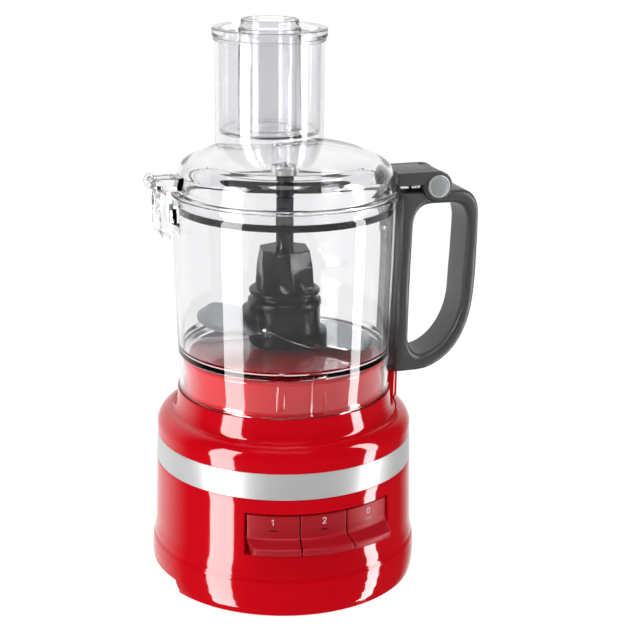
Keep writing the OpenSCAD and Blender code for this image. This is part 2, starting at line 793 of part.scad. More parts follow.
module small_pusher() {
  color([0.88, 0.92, 0.94, 0.45]) translate([0, tube_y, 0]) difference() {
    union() {
      translate([0, 0, pusher_foot]) cylinder(r = small_r, h = top_z - pusher_foot);
      translate([0, 0, flange_z + 0.2]) cylinder(r = small_r + 0.7, h = top_z - flange_z - 0.2);
    }
    translate([0, 0, pusher_foot + 2.5]) cylinder(r = small_r - 1.8, h = 100);
  }
}

// ---- blade ----

module drive_stem() {
  color([0.30, 0.31, 0.33]) difference() {
    union() {
      translate([0, 0, hub_top - 8]) cylinder(r = stem_r, h = 290.5 - hub_top + 8);
      translate([0, 0, 280]) cylinder(r = 4.5, h = 18);
    }
    ring(stem_r + cut, 5, 277, 3);
    for (a = [0:45:315]) rotate([0, 0, a]) translate([stem_r + 0.6, 0, hub_top + 1])
      cylinder(r = 1.6, h = 34, $fn = 24);
  }
}

module blade_hub() {
  color([0.07, 0.08, 0.08]) difference() {
    union() {
      rotate_extrude() polygon([[0, hub_foot], [hub_r - 1, hub_foot], [hub_r, hub_foot + 2], [hub_r, 200],
        [26.4, 201.2], [26.2, 204.5], [23, 207], [22.8, 208.5], [25.2, 209.4], [25.6, 211], [24.6, 212.4],
        [20, 213], [0, 213]]);
      translate([0, 0, 212]) cylinder(r1 = 21.5, r2 = 21, h = 16, $fn = 6);
      translate([0, 0, 228]) cylinder(r1 = 21, r2 = 19, h = hub_top - 228, $fn = 6);
      blade_boss(0, lower_blade_z);
      blade_boss(180, upper_blade_z);
    }
    translate([0, 0, hub_foot - cut]) cylinder(r = bowl_tube_r + 0.9, h = socket_z - hub_foot + cut);
    translate([0, 0, socket_z - cut]) cylinder(r = spindle_r + 0.7, h = 16.5, $fn = 6);
    translate([0, 0, hub_top - 8 - touch]) cylinder(r = stem_r + touch, h = 20);
    translate([0, 0, lower_blade_z - touch]) blade_outline(0, blade_t + 2 * touch);
    translate([0, 0, upper_blade_z - touch]) blade_outline(180, blade_t + 2 * touch);
  }
}

// Thickened root that holds a blade.
module blade_boss(turn, z) {
  rotate([0, 0, turn]) translate([0, 0, z - 2]) intersection() {
    cylinder(r = 31, h = blade_t + 8);
    translate([0, -22, 0]) cube([40, 40, 30]);
  }
}

// Flat blade that sweeps back from its root; the tip lies clockwise of it.
module blade_outline(turn, h) {
  rotate([0, 0, turn]) linear_extrude(h) difference() {
    polygon(concat(
      [[16, 4], [15, 17]],
      bez([20, 26], [32, 41], [54, 33], [60, 6], 10),
      bez([61.5, -7], [60.5, -23], [55, -36], [46, -42], 8),
      bez([41, -45], [36, -43.5], [32.5, -40.5], [29, -35.5], 5),
      bez([25.5, -31], [22, -27], [20, -24], [18, -14], 4)));
    circle(r = bowl_tube_r + 0.95);
  }
}

module lower_blade() {
  color([0.74, 0.75, 0.77]) translate([0, 0, lower_blade_z]) blade_outline(0, blade_t);
}

module upper_blade() {
  color([0.74, 0.75, 0.77]) translate([0, 0, upper_blade_z]) blade_outline(180, blade_t);
}

base_housing();
trim_band();
bottom_cover();
rubber_feet();
cover_screws();
cord_inlet();
chassis_plate();
motor_screws();
motor_stator();
field_coils();
upper_motor_bracket();
lower_motor_bracket();
motor_bushes();
carbon_brushes();
upper_spindle_bearing();
lower_spindle_bearing();
shaft_seal();
drive_belt();
switch_bracket();
button_switches();
button_leaf_springs();
control_board();
interlock_switch();
interlock_spring();
motor_shaft();
armature_core();
commutator();
cooling_fan();
motor_pulley();
drive_spindle();
spindle_pulley();
spindle_circlip();
button_1();
button_2();
button_pulse();
interlock_plunger();
bowl();
bowl_handle();
handle_screws();
rod_spring();
interlock_rod();
lid();
lid_gasket();
lid_arm();
arm_screws();
hinge_pin();
hinge_caps();
stem_bush();
latch_lever();
latch_pin();
large_pusher();
small_pusher();
drive_stem();
blade_hub();
upper_blade();
lower_blade();
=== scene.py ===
"""Studio scene of an upright kitchen food processor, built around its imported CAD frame.

Sizes are in millimetres and are turned into metres when a mesh is made. The frame's axes are
+Z up the drive axis, +X towards the handle and -Y towards the buttons.
"""

import json
import logging
import math
from dataclasses import dataclass, field, replace
from enum import Enum
from typing import Callable, Sequence, Union

import bmesh
import bpy
import numpy as np
from mathutils import Matrix, Vector


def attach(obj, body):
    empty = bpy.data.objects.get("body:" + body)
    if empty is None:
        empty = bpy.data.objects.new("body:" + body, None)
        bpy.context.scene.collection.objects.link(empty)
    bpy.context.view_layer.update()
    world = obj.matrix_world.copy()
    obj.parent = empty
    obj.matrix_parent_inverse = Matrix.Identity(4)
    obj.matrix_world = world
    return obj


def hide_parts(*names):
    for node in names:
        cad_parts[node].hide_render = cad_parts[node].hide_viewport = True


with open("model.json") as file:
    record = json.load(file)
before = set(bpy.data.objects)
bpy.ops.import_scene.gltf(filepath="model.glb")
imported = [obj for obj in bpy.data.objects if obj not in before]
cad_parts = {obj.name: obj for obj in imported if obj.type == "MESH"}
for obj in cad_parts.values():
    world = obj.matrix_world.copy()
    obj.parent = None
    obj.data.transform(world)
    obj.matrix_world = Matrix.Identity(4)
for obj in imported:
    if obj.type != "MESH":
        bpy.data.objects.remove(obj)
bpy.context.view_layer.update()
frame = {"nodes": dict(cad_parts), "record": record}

LOG = logging.getLogger("food_processor")
MM = 0.001
TURN = 2 * math.pi

# Places that several classes share: the interlock's rod and plunger, the pins of the lid's hinge
# and of its latch (x, z), the feed tube's axis and the height where the lid meets the bowl.
ROD_X = 85.3
PLUNGER_X = 82.5
HINGE_AT = (109.0, 282.5)
LATCH_AT = (-93.5, 293.0)
TUBE_Y = 36.8
RIM_Z = 283.5
AXIS = 0.01  # Radius of the hair-thin bore down the middle of a turned tool, which stays uncut.

Array = np.ndarray
Profile = Array
Value = Union[float, "Sock"]


# ---------------------------------------------------------------- outlines

def arc(centre: Sequence[float], radius: float, start: float, stop: float, count: int = 8) -> Profile:
    """Points on a circle in the profile plane, at evenly spaced angles in degrees.

    Args:
        centre: The circle's centre.
        radius: The circle's radius.
        start: First angle.
        stop: Last angle.
        count: Number of steps.

    Returns:
        An array of count + 1 points.
    """
    a = np.radians(np.linspace(start, stop, count + 1))
    return np.stack([centre[0] + radius * np.cos(a), centre[1] + radius * np.sin(a)], -1)


def bezier(a: Sequence[float], b: Sequence[float], c: Sequence[float], d: Sequence[float],
           count: int = 12) -> Profile:
    """Cubic curve from a to d that leaves towards b and arrives from c.

    Returns:
        An array of count + 1 points of the Bernstein polynomial.
    """
    t = np.linspace(0, 1, count + 1)[:, None]
    a, b, c, d = (np.asarray(p, float) for p in (a, b, c, d))
    return (1 - t) ** 3 * a + 3 * (1 - t) ** 2 * t * b + 3 * (1 - t) * t ** 2 * c + t ** 3 * d


def chain(*parts: Sequence) -> Profile:
    """Joins points and curves end to end into one outline."""
    return np.concatenate([np.atleast_2d(np.asarray(p, float)) for p in parts])


def oblong(left: float, right: float, low: float, high: float) -> Profile:
    """Rectangle between two radii and two heights."""
    return np.array([(left, low), (right, low), (right, high), (left, high)], float)


def rounded(points: Sequence, radius: float, closed: bool = True, steps: int = 4) -> Profile:
    """Rounds each corner of an outline with a quadratic curve that is tangent to both sides.

    Args:
        points: The outline's corners.
        radius: Distance cut off each side, at most 0.45 of the side.
        closed: Whether the last corner joins the first.
        steps: Number of steps round each corner.

    Returns:
        The rounded outline.
    """
    p = np.asarray(points, float)
    before, after = np.roll(p, 1, 0), np.roll(p, -1, 0)
    to_b, to_a = before - p, after - p
    len_b = np.linalg.norm(to_b, axis=1, keepdims=True)
    len_a = np.linalg.norm(to_a, axis=1, keepdims=True)
    cut_b = p + to_b / len_b * np.minimum(radius, 0.45 * len_b)
    cut_a = p + to_a / len_a * np.minimum(radius, 0.45 * len_a)
    t = np.linspace(0, 1, steps + 1)[None, :, None]
    curve = (1 - t) ** 2 * cut_b[:, None] + 2 * (1 - t) * t * p[:, None] + t ** 2 * cut_a[:, None]
    if closed:
        return curve.reshape(-1, 2)
    return chain(p[:1], curve[1:-1].reshape(-1, 2), p[-1:])


def normals_of(outline: Profile) -> Array:
    """Unit normals of a closed outline, pointing out of it whichever way round it runs."""
    along = np.roll(outline, -1, 0) - np.roll(outline, 1, 0)
    side = np.stack([along[:, 1], -along[:, 0]], -1)
    side /= np.maximum(np.linalg.norm(side, axis=1, keepdims=True), 1e-9)
    x, y = outline.T
    area = np.sum(x * np.roll(y, -1) - np.roll(x, -1) * y)
    return side if area > 0 else -side


def resample(outline: Profile, count: int) -> Profile:
    """Evenly spaced points along a closed outline."""
    loop = np.concatenate([outline, outline[:1]])
    run = np.concatenate([[0], np.cumsum(np.linalg.norm(np.diff(loop, axis=0), axis=1))])
    at = np.linspace(0, run[-1], count, endpoint=False)
    return np.stack([np.interp(at, run, loop[:, k]) for k in (0, 1)], -1)


def smooth_step(x: Array, low: float, high: float) -> Array:
    """Cubic ramp from 0 at low to 1 at high."""
    t = np.clip((np.asarray(x, float) - low) / (high - low), 0, 1)
    return t * t * (3 - 2 * t)


# ---------------------------------------------------------------- surfaces

@dataclass
class Surface:
    """Grid of points in millimetres, with its two directions open or joined end to end."""

    points: Array
    wrap_rows: bool = False
    wrap_cols: bool = False
    cap_rows: bool = False

    def faces(self, first: int) -> list:
        """Quads of the grid, and an n-gon at each end if the ends are capped.

        Args:
            first: Index of this grid's first vertex in the whole mesh.

        Returns:
            Lists of vertex indices.
        """
        rows, cols = self.points.shape[:2]
        index = np.arange(rows * cols).reshape(rows, cols) + first
        down = np.concatenate([index, index[:1]]) if self.wrap_rows else index
        both = np.concatenate([down, down[:, :1]], 1) if self.wrap_cols else down
        quads = np.stack([both[:-1, :-1], both[:-1, 1:], both[1:, 1:], both[1:, :-1]], -1)
        out = quads.reshape(-1, 4).tolist()
        if self.cap_rows:
            out += [index[0, ::-1].tolist(), index[-1].tolist()]
        return out


def lathe(profile: Profile, turns: Array = None, closed: bool = True,
          bend: Callable[[Array, Array, Array], tuple] = None) -> Surface:
    """Turns a profile about the drive axis: x = r sin a, y = -r cos a, so angle 0 is the front.

    Args:
        profile: Points of radius and height.
        turns: Angles in radians; a whole turn if left out.
        closed: Whether the profile is a loop.
        bend: Changes radius and height by angle, as bend(radius, height, angle).

    Returns:
        The surface, whose rows run round the axis.
    """
    whole = turns is None
    a = np.linspace(0, TURN, 160, endpoint=False) if whole else np.asarray(turns, float)
    a, r = np.meshgrid(a, profile[:, 0], indexing="ij")
    z = np.broadcast_to(profile[:, 1], r.shape)
    if bend:
        r, z = bend(r, z, a)
    around = whole or abs(TURN - (turns[-1] - turns[0])) < 0.2
    return Surface(np.stack([r * np.sin(a), -r * np.cos(a), z], -1), around, closed, not around and closed)


def shifted(surface: Surface, by: Sequence[float]) -> Surface:
    """The same surface moved by a vector."""
    return replace(surface, points=surface.points + np.asarray(by, float))


def spun(surface: Surface, degrees: float) -> Surface:
    """The same surface turned about the drive axis, from the front towards +X."""
    c, s = math.cos(math.radians(degrees)), math.sin(math.radians(degrees))
    turn = np.array([[c, -s, 0], [s, c, 0], [0, 0, 1]])
    return replace(surface, points=surface.points @ turn.T)


def thickened(outline: Profile, half: float, edge: float) -> tuple:
    """Repeats an outline through a thickness, pulled in near both ends to round the edges.

    The pull is edge * (1 - cos) of a quarter circle whose sine is the way into the edge.

    Args:
        outline: Closed outline.
        half: Half of the thickness.
        edge: Radius of the edges.

    Returns:
        The outlines, and the place of each of their points from -half to half.
    """
    q = np.radians(np.linspace(0, 90, 5))
    place = half - edge + edge * np.sin(q)
    pull = edge * (1 - np.cos(q))
    place, pull = np.concatenate([-place[::-1], place]), np.concatenate([pull[::-1], pull])
    flat = outline[None] - normals_of(outline)[None] * pull[:, None, None]
    return flat, np.broadcast_to(place[:, None], flat.shape[:2])


def slab(outline: Profile, half: float, edge: float = 0.6, middle: float = 0.0) -> Surface:
    """Outline in the X-Z plane, thick along Y about a middle, with rounded edges and closed ends."""
    flat, depth = thickened(outline, half, edge)
    return Surface(np.stack([flat[..., 0], depth + middle, flat[..., 1]], -1), False, True, True)


def plate(outline: Profile, low: float, high: float, edge: float = 0.3) -> Surface:
    """Outline in the X-Y plane, thick along Z, with rounded edges and closed ends."""
    flat, depth = thickened(outline, (high - low) / 2, edge)
    return Surface(np.stack([flat[..., 0], flat[..., 1], depth + (low + high) / 2], -1), False, True, True)


def disc_along_y(x: float, z: float, profile: Profile, count: int = 72) -> Surface:
    """Closed profile of radius and y, turned about a line that runs along Y."""
    a = np.linspace(0, TURN, count, endpoint=False)
    a, r = np.meshgrid(a, profile[:, 0], indexing="ij")
    y = np.broadcast_to(profile[:, 1], r.shape)
    return Surface(np.stack([x + r * np.cos(a), y, z + r * np.sin(a)], -1), True, True)


def coil(centre: Sequence[float], radius: float, wire: float, low: float, high: float,
         turns: int) -> Surface:
    """Helical wire: its centre line climbs evenly, and a circle of the wire's radius follows it."""
    t = np.linspace(0, 1, turns * 20 + 1)
    a = t * turns * TURN
    b = np.linspace(0, TURN, 8, endpoint=False)
    a, b = np.meshgrid(a, b, indexing="ij")
    r = radius + wire * np.cos(b)
    z = low + wire + (high - low - 2 * wire) * a / (turns * TURN) + wire * np.sin(b)
    return Surface(np.stack([centre[0] + r * np.cos(a), centre[1] + r * np.sin(a), z], -1),
                   False, True, True)


def crisp(mesh: bpy.types.Mesh, degrees: float) -> None:
    """Shades a mesh smooth, with sharp edges above an angle."""
    mesh.shade_smooth()
    mesh.set_sharp_from_angle(angle=math.radians(degrees))


def build(name: str, surfaces: Sequence[Surface], sharp: float = 32.0) -> bpy.types.Object:
    """Makes one object of closed surfaces, with merged poles, outward normals and crisp edges.

    Args:
        name: The piece's name.
        surfaces: Its surfaces, in millimetres.
        sharp: Angle in degrees above which an edge is shaded sharp.

    Returns:
        The object, at the origin.
    """
    points, faces, first = [], [], 0
    for s in surfaces:
        points.append(s.points.reshape(-1, 3))
        faces += s.faces(first)
        first += len(points[-1])
    mesh = bpy.data.meshes.new(name)
    mesh.from_pydata(np.concatenate(points) * MM, [], faces)
    work = bmesh.new()
    work.from_mesh(mesh)
    bmesh.ops.remove_doubles(work, verts=work.verts, dist=2e-6)
    bmesh.ops.dissolve_degenerate(work, edges=work.edges, dist=1e-7)
    bmesh.ops.recalc_face_normals(work, faces=work.faces)
    work.to_mesh(mesh)
    work.free()
    crisp(mesh, sharp)
    piece = bpy.data.objects.new(name, mesh)
    bpy.context.scene.collection.objects.link(piece)
    return piece


class How(Enum):
    """What a boolean does with its tool."""

    ADD = "UNION"
    CUT = "DIFFERENCE"


def combine(target: bpy.types.Object, how: How, *surfaces: Surface) -> None:
    """Adds closed surfaces to a closed piece, or cuts them out of it."""
    tool = build("tool", surfaces)
    step = target.modifiers.new("combine", "BOOLEAN")
    step.operation = how.value
    step.solver = "MANIFOLD"
    step.object = tool
    bpy.context.view_layer.update()
    ready = target.evaluated_get(bpy.context.evaluated_depsgraph_get())
    mesh = bpy.data.meshes.new_from_object(ready)
    target.modifiers.clear()
    target.data = mesh
    bpy.data.objects.remove(tool)


# ---------------------------------------------------------------- shaders

class Sock:
    """An output socket whose arithmetic adds Math nodes to its tree."""

    def __init__(self, tree: "Tree", socket: bpy.types.NodeSocket) -> None:
        """Keeps the socket and the tree it belongs to."""
        self.tree = tree
        self.socket = socket

    def __add__(self, other: Value) -> "Sock":
        """Sum."""
        return self.tree.maths("ADD", self, other)

    def __mul__(self, other: Value) -> "Sock":
        """Product."""
        return self.tree.maths("MULTIPLY", self, other)

    __radd__ = __add__
    __rmul__ = __mul__


class Tree:
    """Node tree of one material or world, emptied and then filled through one method."""

    def __init__(self, tree: bpy.types.NodeTree) -> None:
        """Empties the tree and keeps it."""
        self.tree = tree
        tree.nodes.clear()

    def node(self, kind: str, settings: dict = None, sockets: dict = None,
             out: Union[int, str] = 0) -> Sock:
        """Adds a node.

        Args:
            kind: The node's type.
            settings: Attributes set first; "ramp" is a list of (place, colour) stops.
            sockets: Values or Socks for the node's inputs, by name or number.
            out: Which output to return.

        Returns:
            The chosen output, or None if the node has none.
        """
        node = self.tree.nodes.new(kind)
        for name, value in (settings or {}).items():
            if name == "ramp":
                stops = node.color_ramp.elements
                stops[0].position, stops[0].color = value[0]
                stops[1].position, stops[1].color = value[-1]
                for place, colour in value[1:-1]:
                    stops.new(place).color = colour
            else:
                setattr(node, name, value)
        for name, value in (sockets or {}).items():
            if isinstance(value, Sock):
                self.tree.links.new(value.socket, node.inputs[name])
            else:
                node.inputs[name].default_value = value
        return Sock(self, node.outputs[out]) if node.outputs else None

    def maths(self, operation: str, a: Value, b: Value) -> Sock:
        """Math node on two values."""
        return self.node("ShaderNodeMath", {"operation": operation}, {0: a, 1: b})

    def mix(self, factor: Value, a: Value, b: Value) -> Sock:
        """Colour between a at factor 0 and b at factor 1."""
        return self.node("ShaderNodeMix", {"data_type": "RGBA"}, {0: factor, 6: a, 7: b}, 2)

    def noise(self, scale: float, stretch: Sequence[float] = (1, 1, 1)) -> Sock:
        """Noise on the piece's own coordinates, with scale in waves per metre."""
        place = self.node("ShaderNodeTexCoord", out="Object")
        place = self.node("ShaderNodeMapping", {}, {"Vector": place, "Scale": tuple(stretch)})
        return self.node("ShaderNodeTexNoise", {}, {"Vector": place, "Scale": scale, "Detail": 3.0})

    def bands(self, scale: float) -> Sock:
        """Level bands on the piece's own coordinates."""
        place = self.node("ShaderNodeTexCoord", out="Object")
        return self.node("ShaderNodeTexWave", {"bands_direction": "Z"}, {"Vector": place, "Scale": scale})

    def bump(self, height: Sock, strength: float, depth: float) -> Sock:
        """Bump of a height map, with its depth in millimetres."""
        return self.node("ShaderNodeBump", {},
                         {"Height": height, "Strength": strength, "Distance": depth * MM})


def linear(rgb: Sequence[float]) -> tuple:
    """Linear colour of an sRGB colour given from 0 to 255."""
    c = np.asarray(rgb, float) / 255
    c = np.where(c <= 0.04045, c / 12.92, ((c + 0.055) / 1.055) ** 2.4)
    return (*c.tolist(), 1.0)


@dataclass(frozen=True)
class Finish:
    """Moulded or painted surface, slightly uneven in shade, gloss and grain."""

    name: str
    colour: tuple
    roughness: float
    metallic: float = 0.0
    coat: float = 0.0
    specular: float = 0.5
    uneven: float = 0.05
    grain: float = 0.02
    grain_scale: float = 1500.0
    transmission: float = 0.0
    ior: float = 1.5

    def shade(self, tree: Tree) -> Sock:
        """Base colour, a little darker in places.

        Args:
            tree: The material's tree.

        Returns:
            The colour.
        """
        low = linear([c * (1 - self.uneven) for c in self.colour])
        return tree.mix(tree.noise(35.0), linear(self.colour), low)

    def relief(self, tree: Tree) -> Sock:
        """Normal with the finish's fine grain."""
        return tree.bump(tree.noise(self.grain_scale), 0.3, self.grain)

    def material(self) -> bpy.types.Material:
        """Builds the material.

        Returns:
            The new material.
        """
        made = bpy.data.materials.new(self.name)
        made.use_nodes = True
        tree = Tree(made.node_tree)
        sockets = {
            "Base Color": self.shade(tree),
            "Roughness": tree.noise(90.0) * (0.3 * self.roughness) + 0.85 * self.roughness,
            "Metallic": self.metallic,
            "Coat Weight": self.coat,
            "Coat Roughness": 0.03,
            "Specular IOR Level": self.specular,
            "Transmission Weight": self.transmission,
            "IOR": self.ior,
        }
        if self.grain:
            sockets["Normal"] = self.relief(tree)
        surface = tree.node("ShaderNodeBsdfPrincipled", {}, sockets)
        tree.node("ShaderNodeOutputMaterial", {}, {"Surface": surface})
        return made


@dataclass(frozen=True)
class Brushed(Finish):
    """Metal with fine lines drawn along X."""

    def relief(self, tree: Tree) -> Sock:
        """Normal with lines that are long in X and short in Y."""
        return tree.bump(tree.noise(self.grain_scale, (0.02, 1, 1)), 0.35, self.grain)


@dataclass(frozen=True)
class Banded(Finish):
    """Stack or winding, with dark lines between its layers."""

    pitch: float = 1.0

    def shade(self, tree: Tree) -> Sock:
        """Colour that falls to a dark line at each layer's edge."""
        dark = linear([c * 0.35 for c in self.colour])
        lines = tree.bands(1.0 / (20.0 * self.pitch * MM))
        stops = [(0.0, (0, 0, 0, 1)), (0.35, (1, 1, 1, 1)), (1.0, (1, 1, 1, 1))]
        ramp = tree.node("ShaderNodeValToRGB", {"ramp": stops}, {"Fac": lines})
        return tree.mix(ramp, dark, linear(self.colour))


@dataclass(frozen=True)
class Board(Finish):
    """Printed circuit board, with lighter tracks."""

    def shade(self, tree: Tree) -> Sock:
        """Green with cells of a lighter green."""
        place = tree.node("ShaderNodeTexCoord", out="Object")
        cells = tree.node("ShaderNodeTexVoronoi", {"distance": "CHEBYCHEV", "feature": "F1"},
                          {"Vector": place, "Scale": 160.0})
        light = linear([c * 1.7 for c in self.colour])
        return tree.mix(cells, light, linear(self.colour))


FINISHES = {
    "red_gloss": Finish("red_gloss", (208, 0, 20), 0.07, coat=0.3, specular=0.4, uneven=0.02, grain=0.0),
    "red_satin": Finish("red_satin", (178, 14, 32), 0.36, specular=0.2, uneven=0.03, grain=0.03),
    "band_silver": Finish("band_silver", (204, 205, 204), 0.33, metallic=0.25, uneven=0.03, grain=0.015),
    "clear_plastic": Finish("clear_plastic", (249, 249, 250), 0.012, uneven=0.01, grain=0.0,
                            transmission=1.0, ior=1.46),
    "dark_grey_plastic": Finish("dark_grey_plastic", (74, 75, 77), 0.36, uneven=0.05, grain=0.05),
    "black_plastic": Finish("black_plastic", (30, 32, 33), 0.34, uneven=0.08, grain=0.04),
    "hub_plastic": Finish("hub_plastic", (5, 6, 7), 0.2, specular=0.2, uneven=0.06, grain=0.03),
    "black_rubber": Finish("black_rubber", (9, 9, 10), 0.55, specular=0.15, uneven=0.1, grain=0.05),
    "silver_cap": Finish("silver_cap", (200, 202, 204), 0.3, metallic=0.6, uneven=0.03, grain=0.01),
    "blade_steel": Brushed("blade_steel", (158, 161, 165), 0.24, metallic=1.0, uneven=0.04, grain=0.03),
    "dark_steel": Brushed("dark_steel", (44, 45, 48), 0.2, metallic=0.9, uneven=0.08, grain=0.02),
    "steel": Brushed("steel", (176, 179, 184), 0.3, metallic=1.0, uneven=0.05, grain=0.02),
    "laminated_steel": Banded("laminated_steel", (120, 122, 126), 0.4, metallic=0.8, pitch=0.7),
    "copper": Banded("copper", (190, 104, 56), 0.32, metallic=0.9, pitch=0.8),
    "bronze": Finish("bronze", (168, 128, 70), 0.4, metallic=1.0, uneven=0.1, grain=0.03),
    "alloy": Finish("alloy", (150, 152, 155), 0.5, metallic=0.9, uneven=0.08, grain=0.08),
    "carbon": Finish("carbon", (38, 38, 40), 0.7, uneven=0.15, grain=0.06),
    "white_plastic": Finish("white_plastic", (228, 228, 222), 0.4, uneven=0.03, grain=0.02),
    "board": Board("board", (24, 92, 52), 0.45, grain=0.03),
    "mark_white": Finish("mark_white", (238, 226, 226), 0.5, uneven=0.02, grain=0.01),
    "indicator": Finish("indicator", (60, 8, 14), 0.25, uneven=0.04, grain=0.0),
}


# ---------------------------------------------------------------- pieces

@dataclass
class Piece:
    """One visible piece, which stands for CAD nodes and moves with their body."""

    name: str
    body: str
    slot: str
    nodes: tuple = ()
    finish: str = ""

    def fit_out(self, made: bpy.types.Object, finishes: dict) -> bpy.types.Object:
        """Gives the mesh its finish, parents it to its body's empty and hides the CAD nodes it stands for.

        Args:
            made: The mesh, in place.
            finishes: Built materials by name.

        Returns:
            The same object.
        """
        made.data.materials.clear()
        made.data.materials.append(finishes[self.finish or self.slot])
        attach(made, self.body)
        if self.nodes:
            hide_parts(*self.nodes)
        LOG.info("%s: %d faces", self.name, len(made.data.polygons))
        return made


@dataclass
class Housing:
    """Red motor housing: skirt, body, band groove, rounded shoulder, neck and bowl seat."""

    skirt_r: float = 96.8
    base_r: float = 92.6
    foot_gap: float = 1.5
    wall: float = 2.6
    band_low: float = 87.2
    band_high: float = 106.3
    band_depth: float = 1.4
    seat_z: float = 139.5
    drum_r: float = 70.8
    drum_z: float = 164.5
    boss_r: float = 10.6
    boss_z: float = 178.0
    bore_r: float = 7.5
    window_half: float = 34.2
    window_low: float = 46.2
    window_high: float = 76.1
    window_depth: float = 8.0
    grip_angle: float = 68.0
    grip_h: float = 10.5

    def angles(self) -> Array:
        """Angles round the axis, closer together at the window's ends and the recesses' ends."""
        near = [np.linspace(e - 1.0, e + 1.0, 15) for e in (-self.window_half, self.window_half)]
        for middle in (90, -90):
            for side in (-1, 1):
                end = middle + side * (90 - self.grip_angle)
                near.append(np.linspace(end - 4, end + 4, 13))
        every = np.linspace(-180, 180, 180, endpoint=False)
        return np.radians(np.unique(np.round(np.concatenate([every, *near]), 3)))

    def body_wall(self) -> Profile:
        """Outer wall between skirt and band, with rows close together at the window's edges."""
        near = [np.linspace(edge - 1.2, edge + 1.2, 13) for edge in (self.window_low, self.window_high)]
        rows = np.concatenate([[42], *near, [82, self.band_low - 0.5]])
        radii = np.interp(rows, [42, 66.5, self.band_low],
                          [self.base_r + 1.3, self.base_r + 0.6, self.base_r])
        return np.stack([radii, rows], -1)

    def profile(self) -> Profile:
        """Closed section through the wall, up the outside and down the inside."""
        groove = self.base_r - self.band_depth
        skirt = rounded([(self.skirt_r - 1.5, self.foot_gap), (self.skirt_r - 0.5, 6), (self.skirt_r, 12),
                         (self.skirt_r, 19), (self.skirt_r - 0.6, 26.5), (self.base_r + 2.5, 28.8),
                         (self.base_r + 2.3, 31.5), (self.base_r + 1.6, 36.5), (self.base_r + 1.4, 39)],
                        1.1, closed=False)
        top = rounded([(76.8, self.seat_z), (self.drum_r, self.seat_z), (self.drum_r, self.drum_z - 1.5),
                       (self.drum_r - 1.5, self.drum_z), (self.boss_r, self.drum_z),
                       (self.boss_r, self.boss_z), (self.bore_r, self.boss_z), (self.bore_r, 160)],
                      0.8, closed=False)
        inside = [(self.boss_r, 160), (self.boss_r, self.drum_z - self.wall),
                  (self.drum_r - self.wall, self.drum_z - self.wall), (self.drum_r - self.wall, 137),
                  (74, 134.4), (74.5, 124), (80, 121.5), (86, 118), (groove - 2.6, self.band_high),
                  (groove - 2.4, self.band_low - 2), (self.base_r - 7, self.window_high + 3),
                  (self.base_r - 11, self.window_high), (self.base_r - 11, self.window_low),
                  (self.base_r - 1.3, 42), (self.base_r - 0.1, 28.8), (self.skirt_r - 3.2, 26.5),
                  (self.skirt_r - self.wall, 12), (self.skirt_r - self.wall - 1.5, self.foot_gap)]
        shoulder = arc((80.1, 112.5), 11.9, 6, 80, 20)
        neck = bezier((81, 123.6), (78, 124.5), (77, 131), (76.8, self.seat_z - 0.9), 14)
        return chain(skirt, self.body_wall(), (self.base_r - 0.1, self.band_low - 0.1),
                     (groove, self.band_low), (groove - 0.6, self.band_high),
                     (self.base_r - 0.75, self.band_high + 0.1), shoulder, neck, top, inside)

    def shape(self, r: Array, z: Array, a: Array) -> tuple:
        """Sinks the button window and lifts the bottom edge at the two recesses.

        The window's depth is a product of smooth ramps in angle and height; the lifted edge is the
        larger of the height and a smooth ramp in the angle from the side.
        """
        ramp = 0.75
        deg = np.degrees(a)
        inside = smooth_step(self.window_half - np.abs(deg), -0.5, 0.0)
        inside = inside * smooth_step(z, self.window_low - ramp, self.window_low)
        inside = inside * smooth_step(-z, -self.window_high - ramp, -self.window_high)
        r = r - self.window_depth * inside * (r > self.base_r - 1)
        from_side = np.abs(np.abs(deg) - 90)
        lift = self.grip_h * smooth_step(90 - self.grip_angle - from_side, 0.0, 3.0)
        return r, np.where(z < self.grip_h, np.maximum(z, lift), z)

    def tower(self) -> bpy.types.Object:
        """Post beside the seat, with a bore for the interlock's plunger."""
        outline = chain(arc((82, 0), 6, -90, 90, 24), (68, 6), (68, -6))
        post = build("tower", [plate(outline, 118, 142.6, 1.0)])
        bore = lathe(oblong(0, 2.6, 108, 150), np.linspace(0, TURN, 48, endpoint=False))
        combine(post, How.CUT, shifted(bore, (PLUNGER_X, 0, 0)))
        return post

    def make(self) -> bpy.types.Object:
        """The housing and its tower as one object."""
        shell = lathe(self.profile(), self.angles(), True, self.shape)
        shell.wrap_rows, shell.cap_rows = True, False
        housing = build("housing", [shell])
        post = self.tower()
        joined = bmesh.new()
        joined.from_mesh(housing.data)
        joined.from_mesh(post.data)
        joined.to_mesh(housing.data)
        joined.free()
        bpy.data.objects.remove(post)
        crisp(housing.data, 32)
        return housing

    def band(self) -> bpy.types.Object:
        """Silver band in its groove, flush with the wall."""
        low, high, deep = self.band_low + 0.15, self.band_high - 0.15, self.band_depth - 0.1
        ring = rounded([(self.base_r, low), (self.base_r - 0.6, high), (self.base_r - 0.6 - deep, high),
                        (self.base_r - deep, low)], 0.3)
        return build("band", [lathe(ring)])


class Mark(Enum):
    """Generic figure on a button, as strokes of (across, up) in millimetres."""

    ONE = (((-0.9, 1.3), (0.15, 2.1), (0.15, -2.1)),)
    TWO = (((-1.2, 1.2), (-0.9, 1.9), (0.0, 2.15), (0.9, 1.9), (1.2, 1.1), (0.8, 0.2), (-1.2, -2.1),
            (1.3, -2.1)),)
    NOUGHT = (((0.0, 2.1), (0.9, 1.6), (1.2, 0.0), (0.9, -1.6), (0.0, -2.1), (-0.9, -1.6), (-1.2, 0.0),
               (-0.9, 1.6), (0.0, 2.1)),)


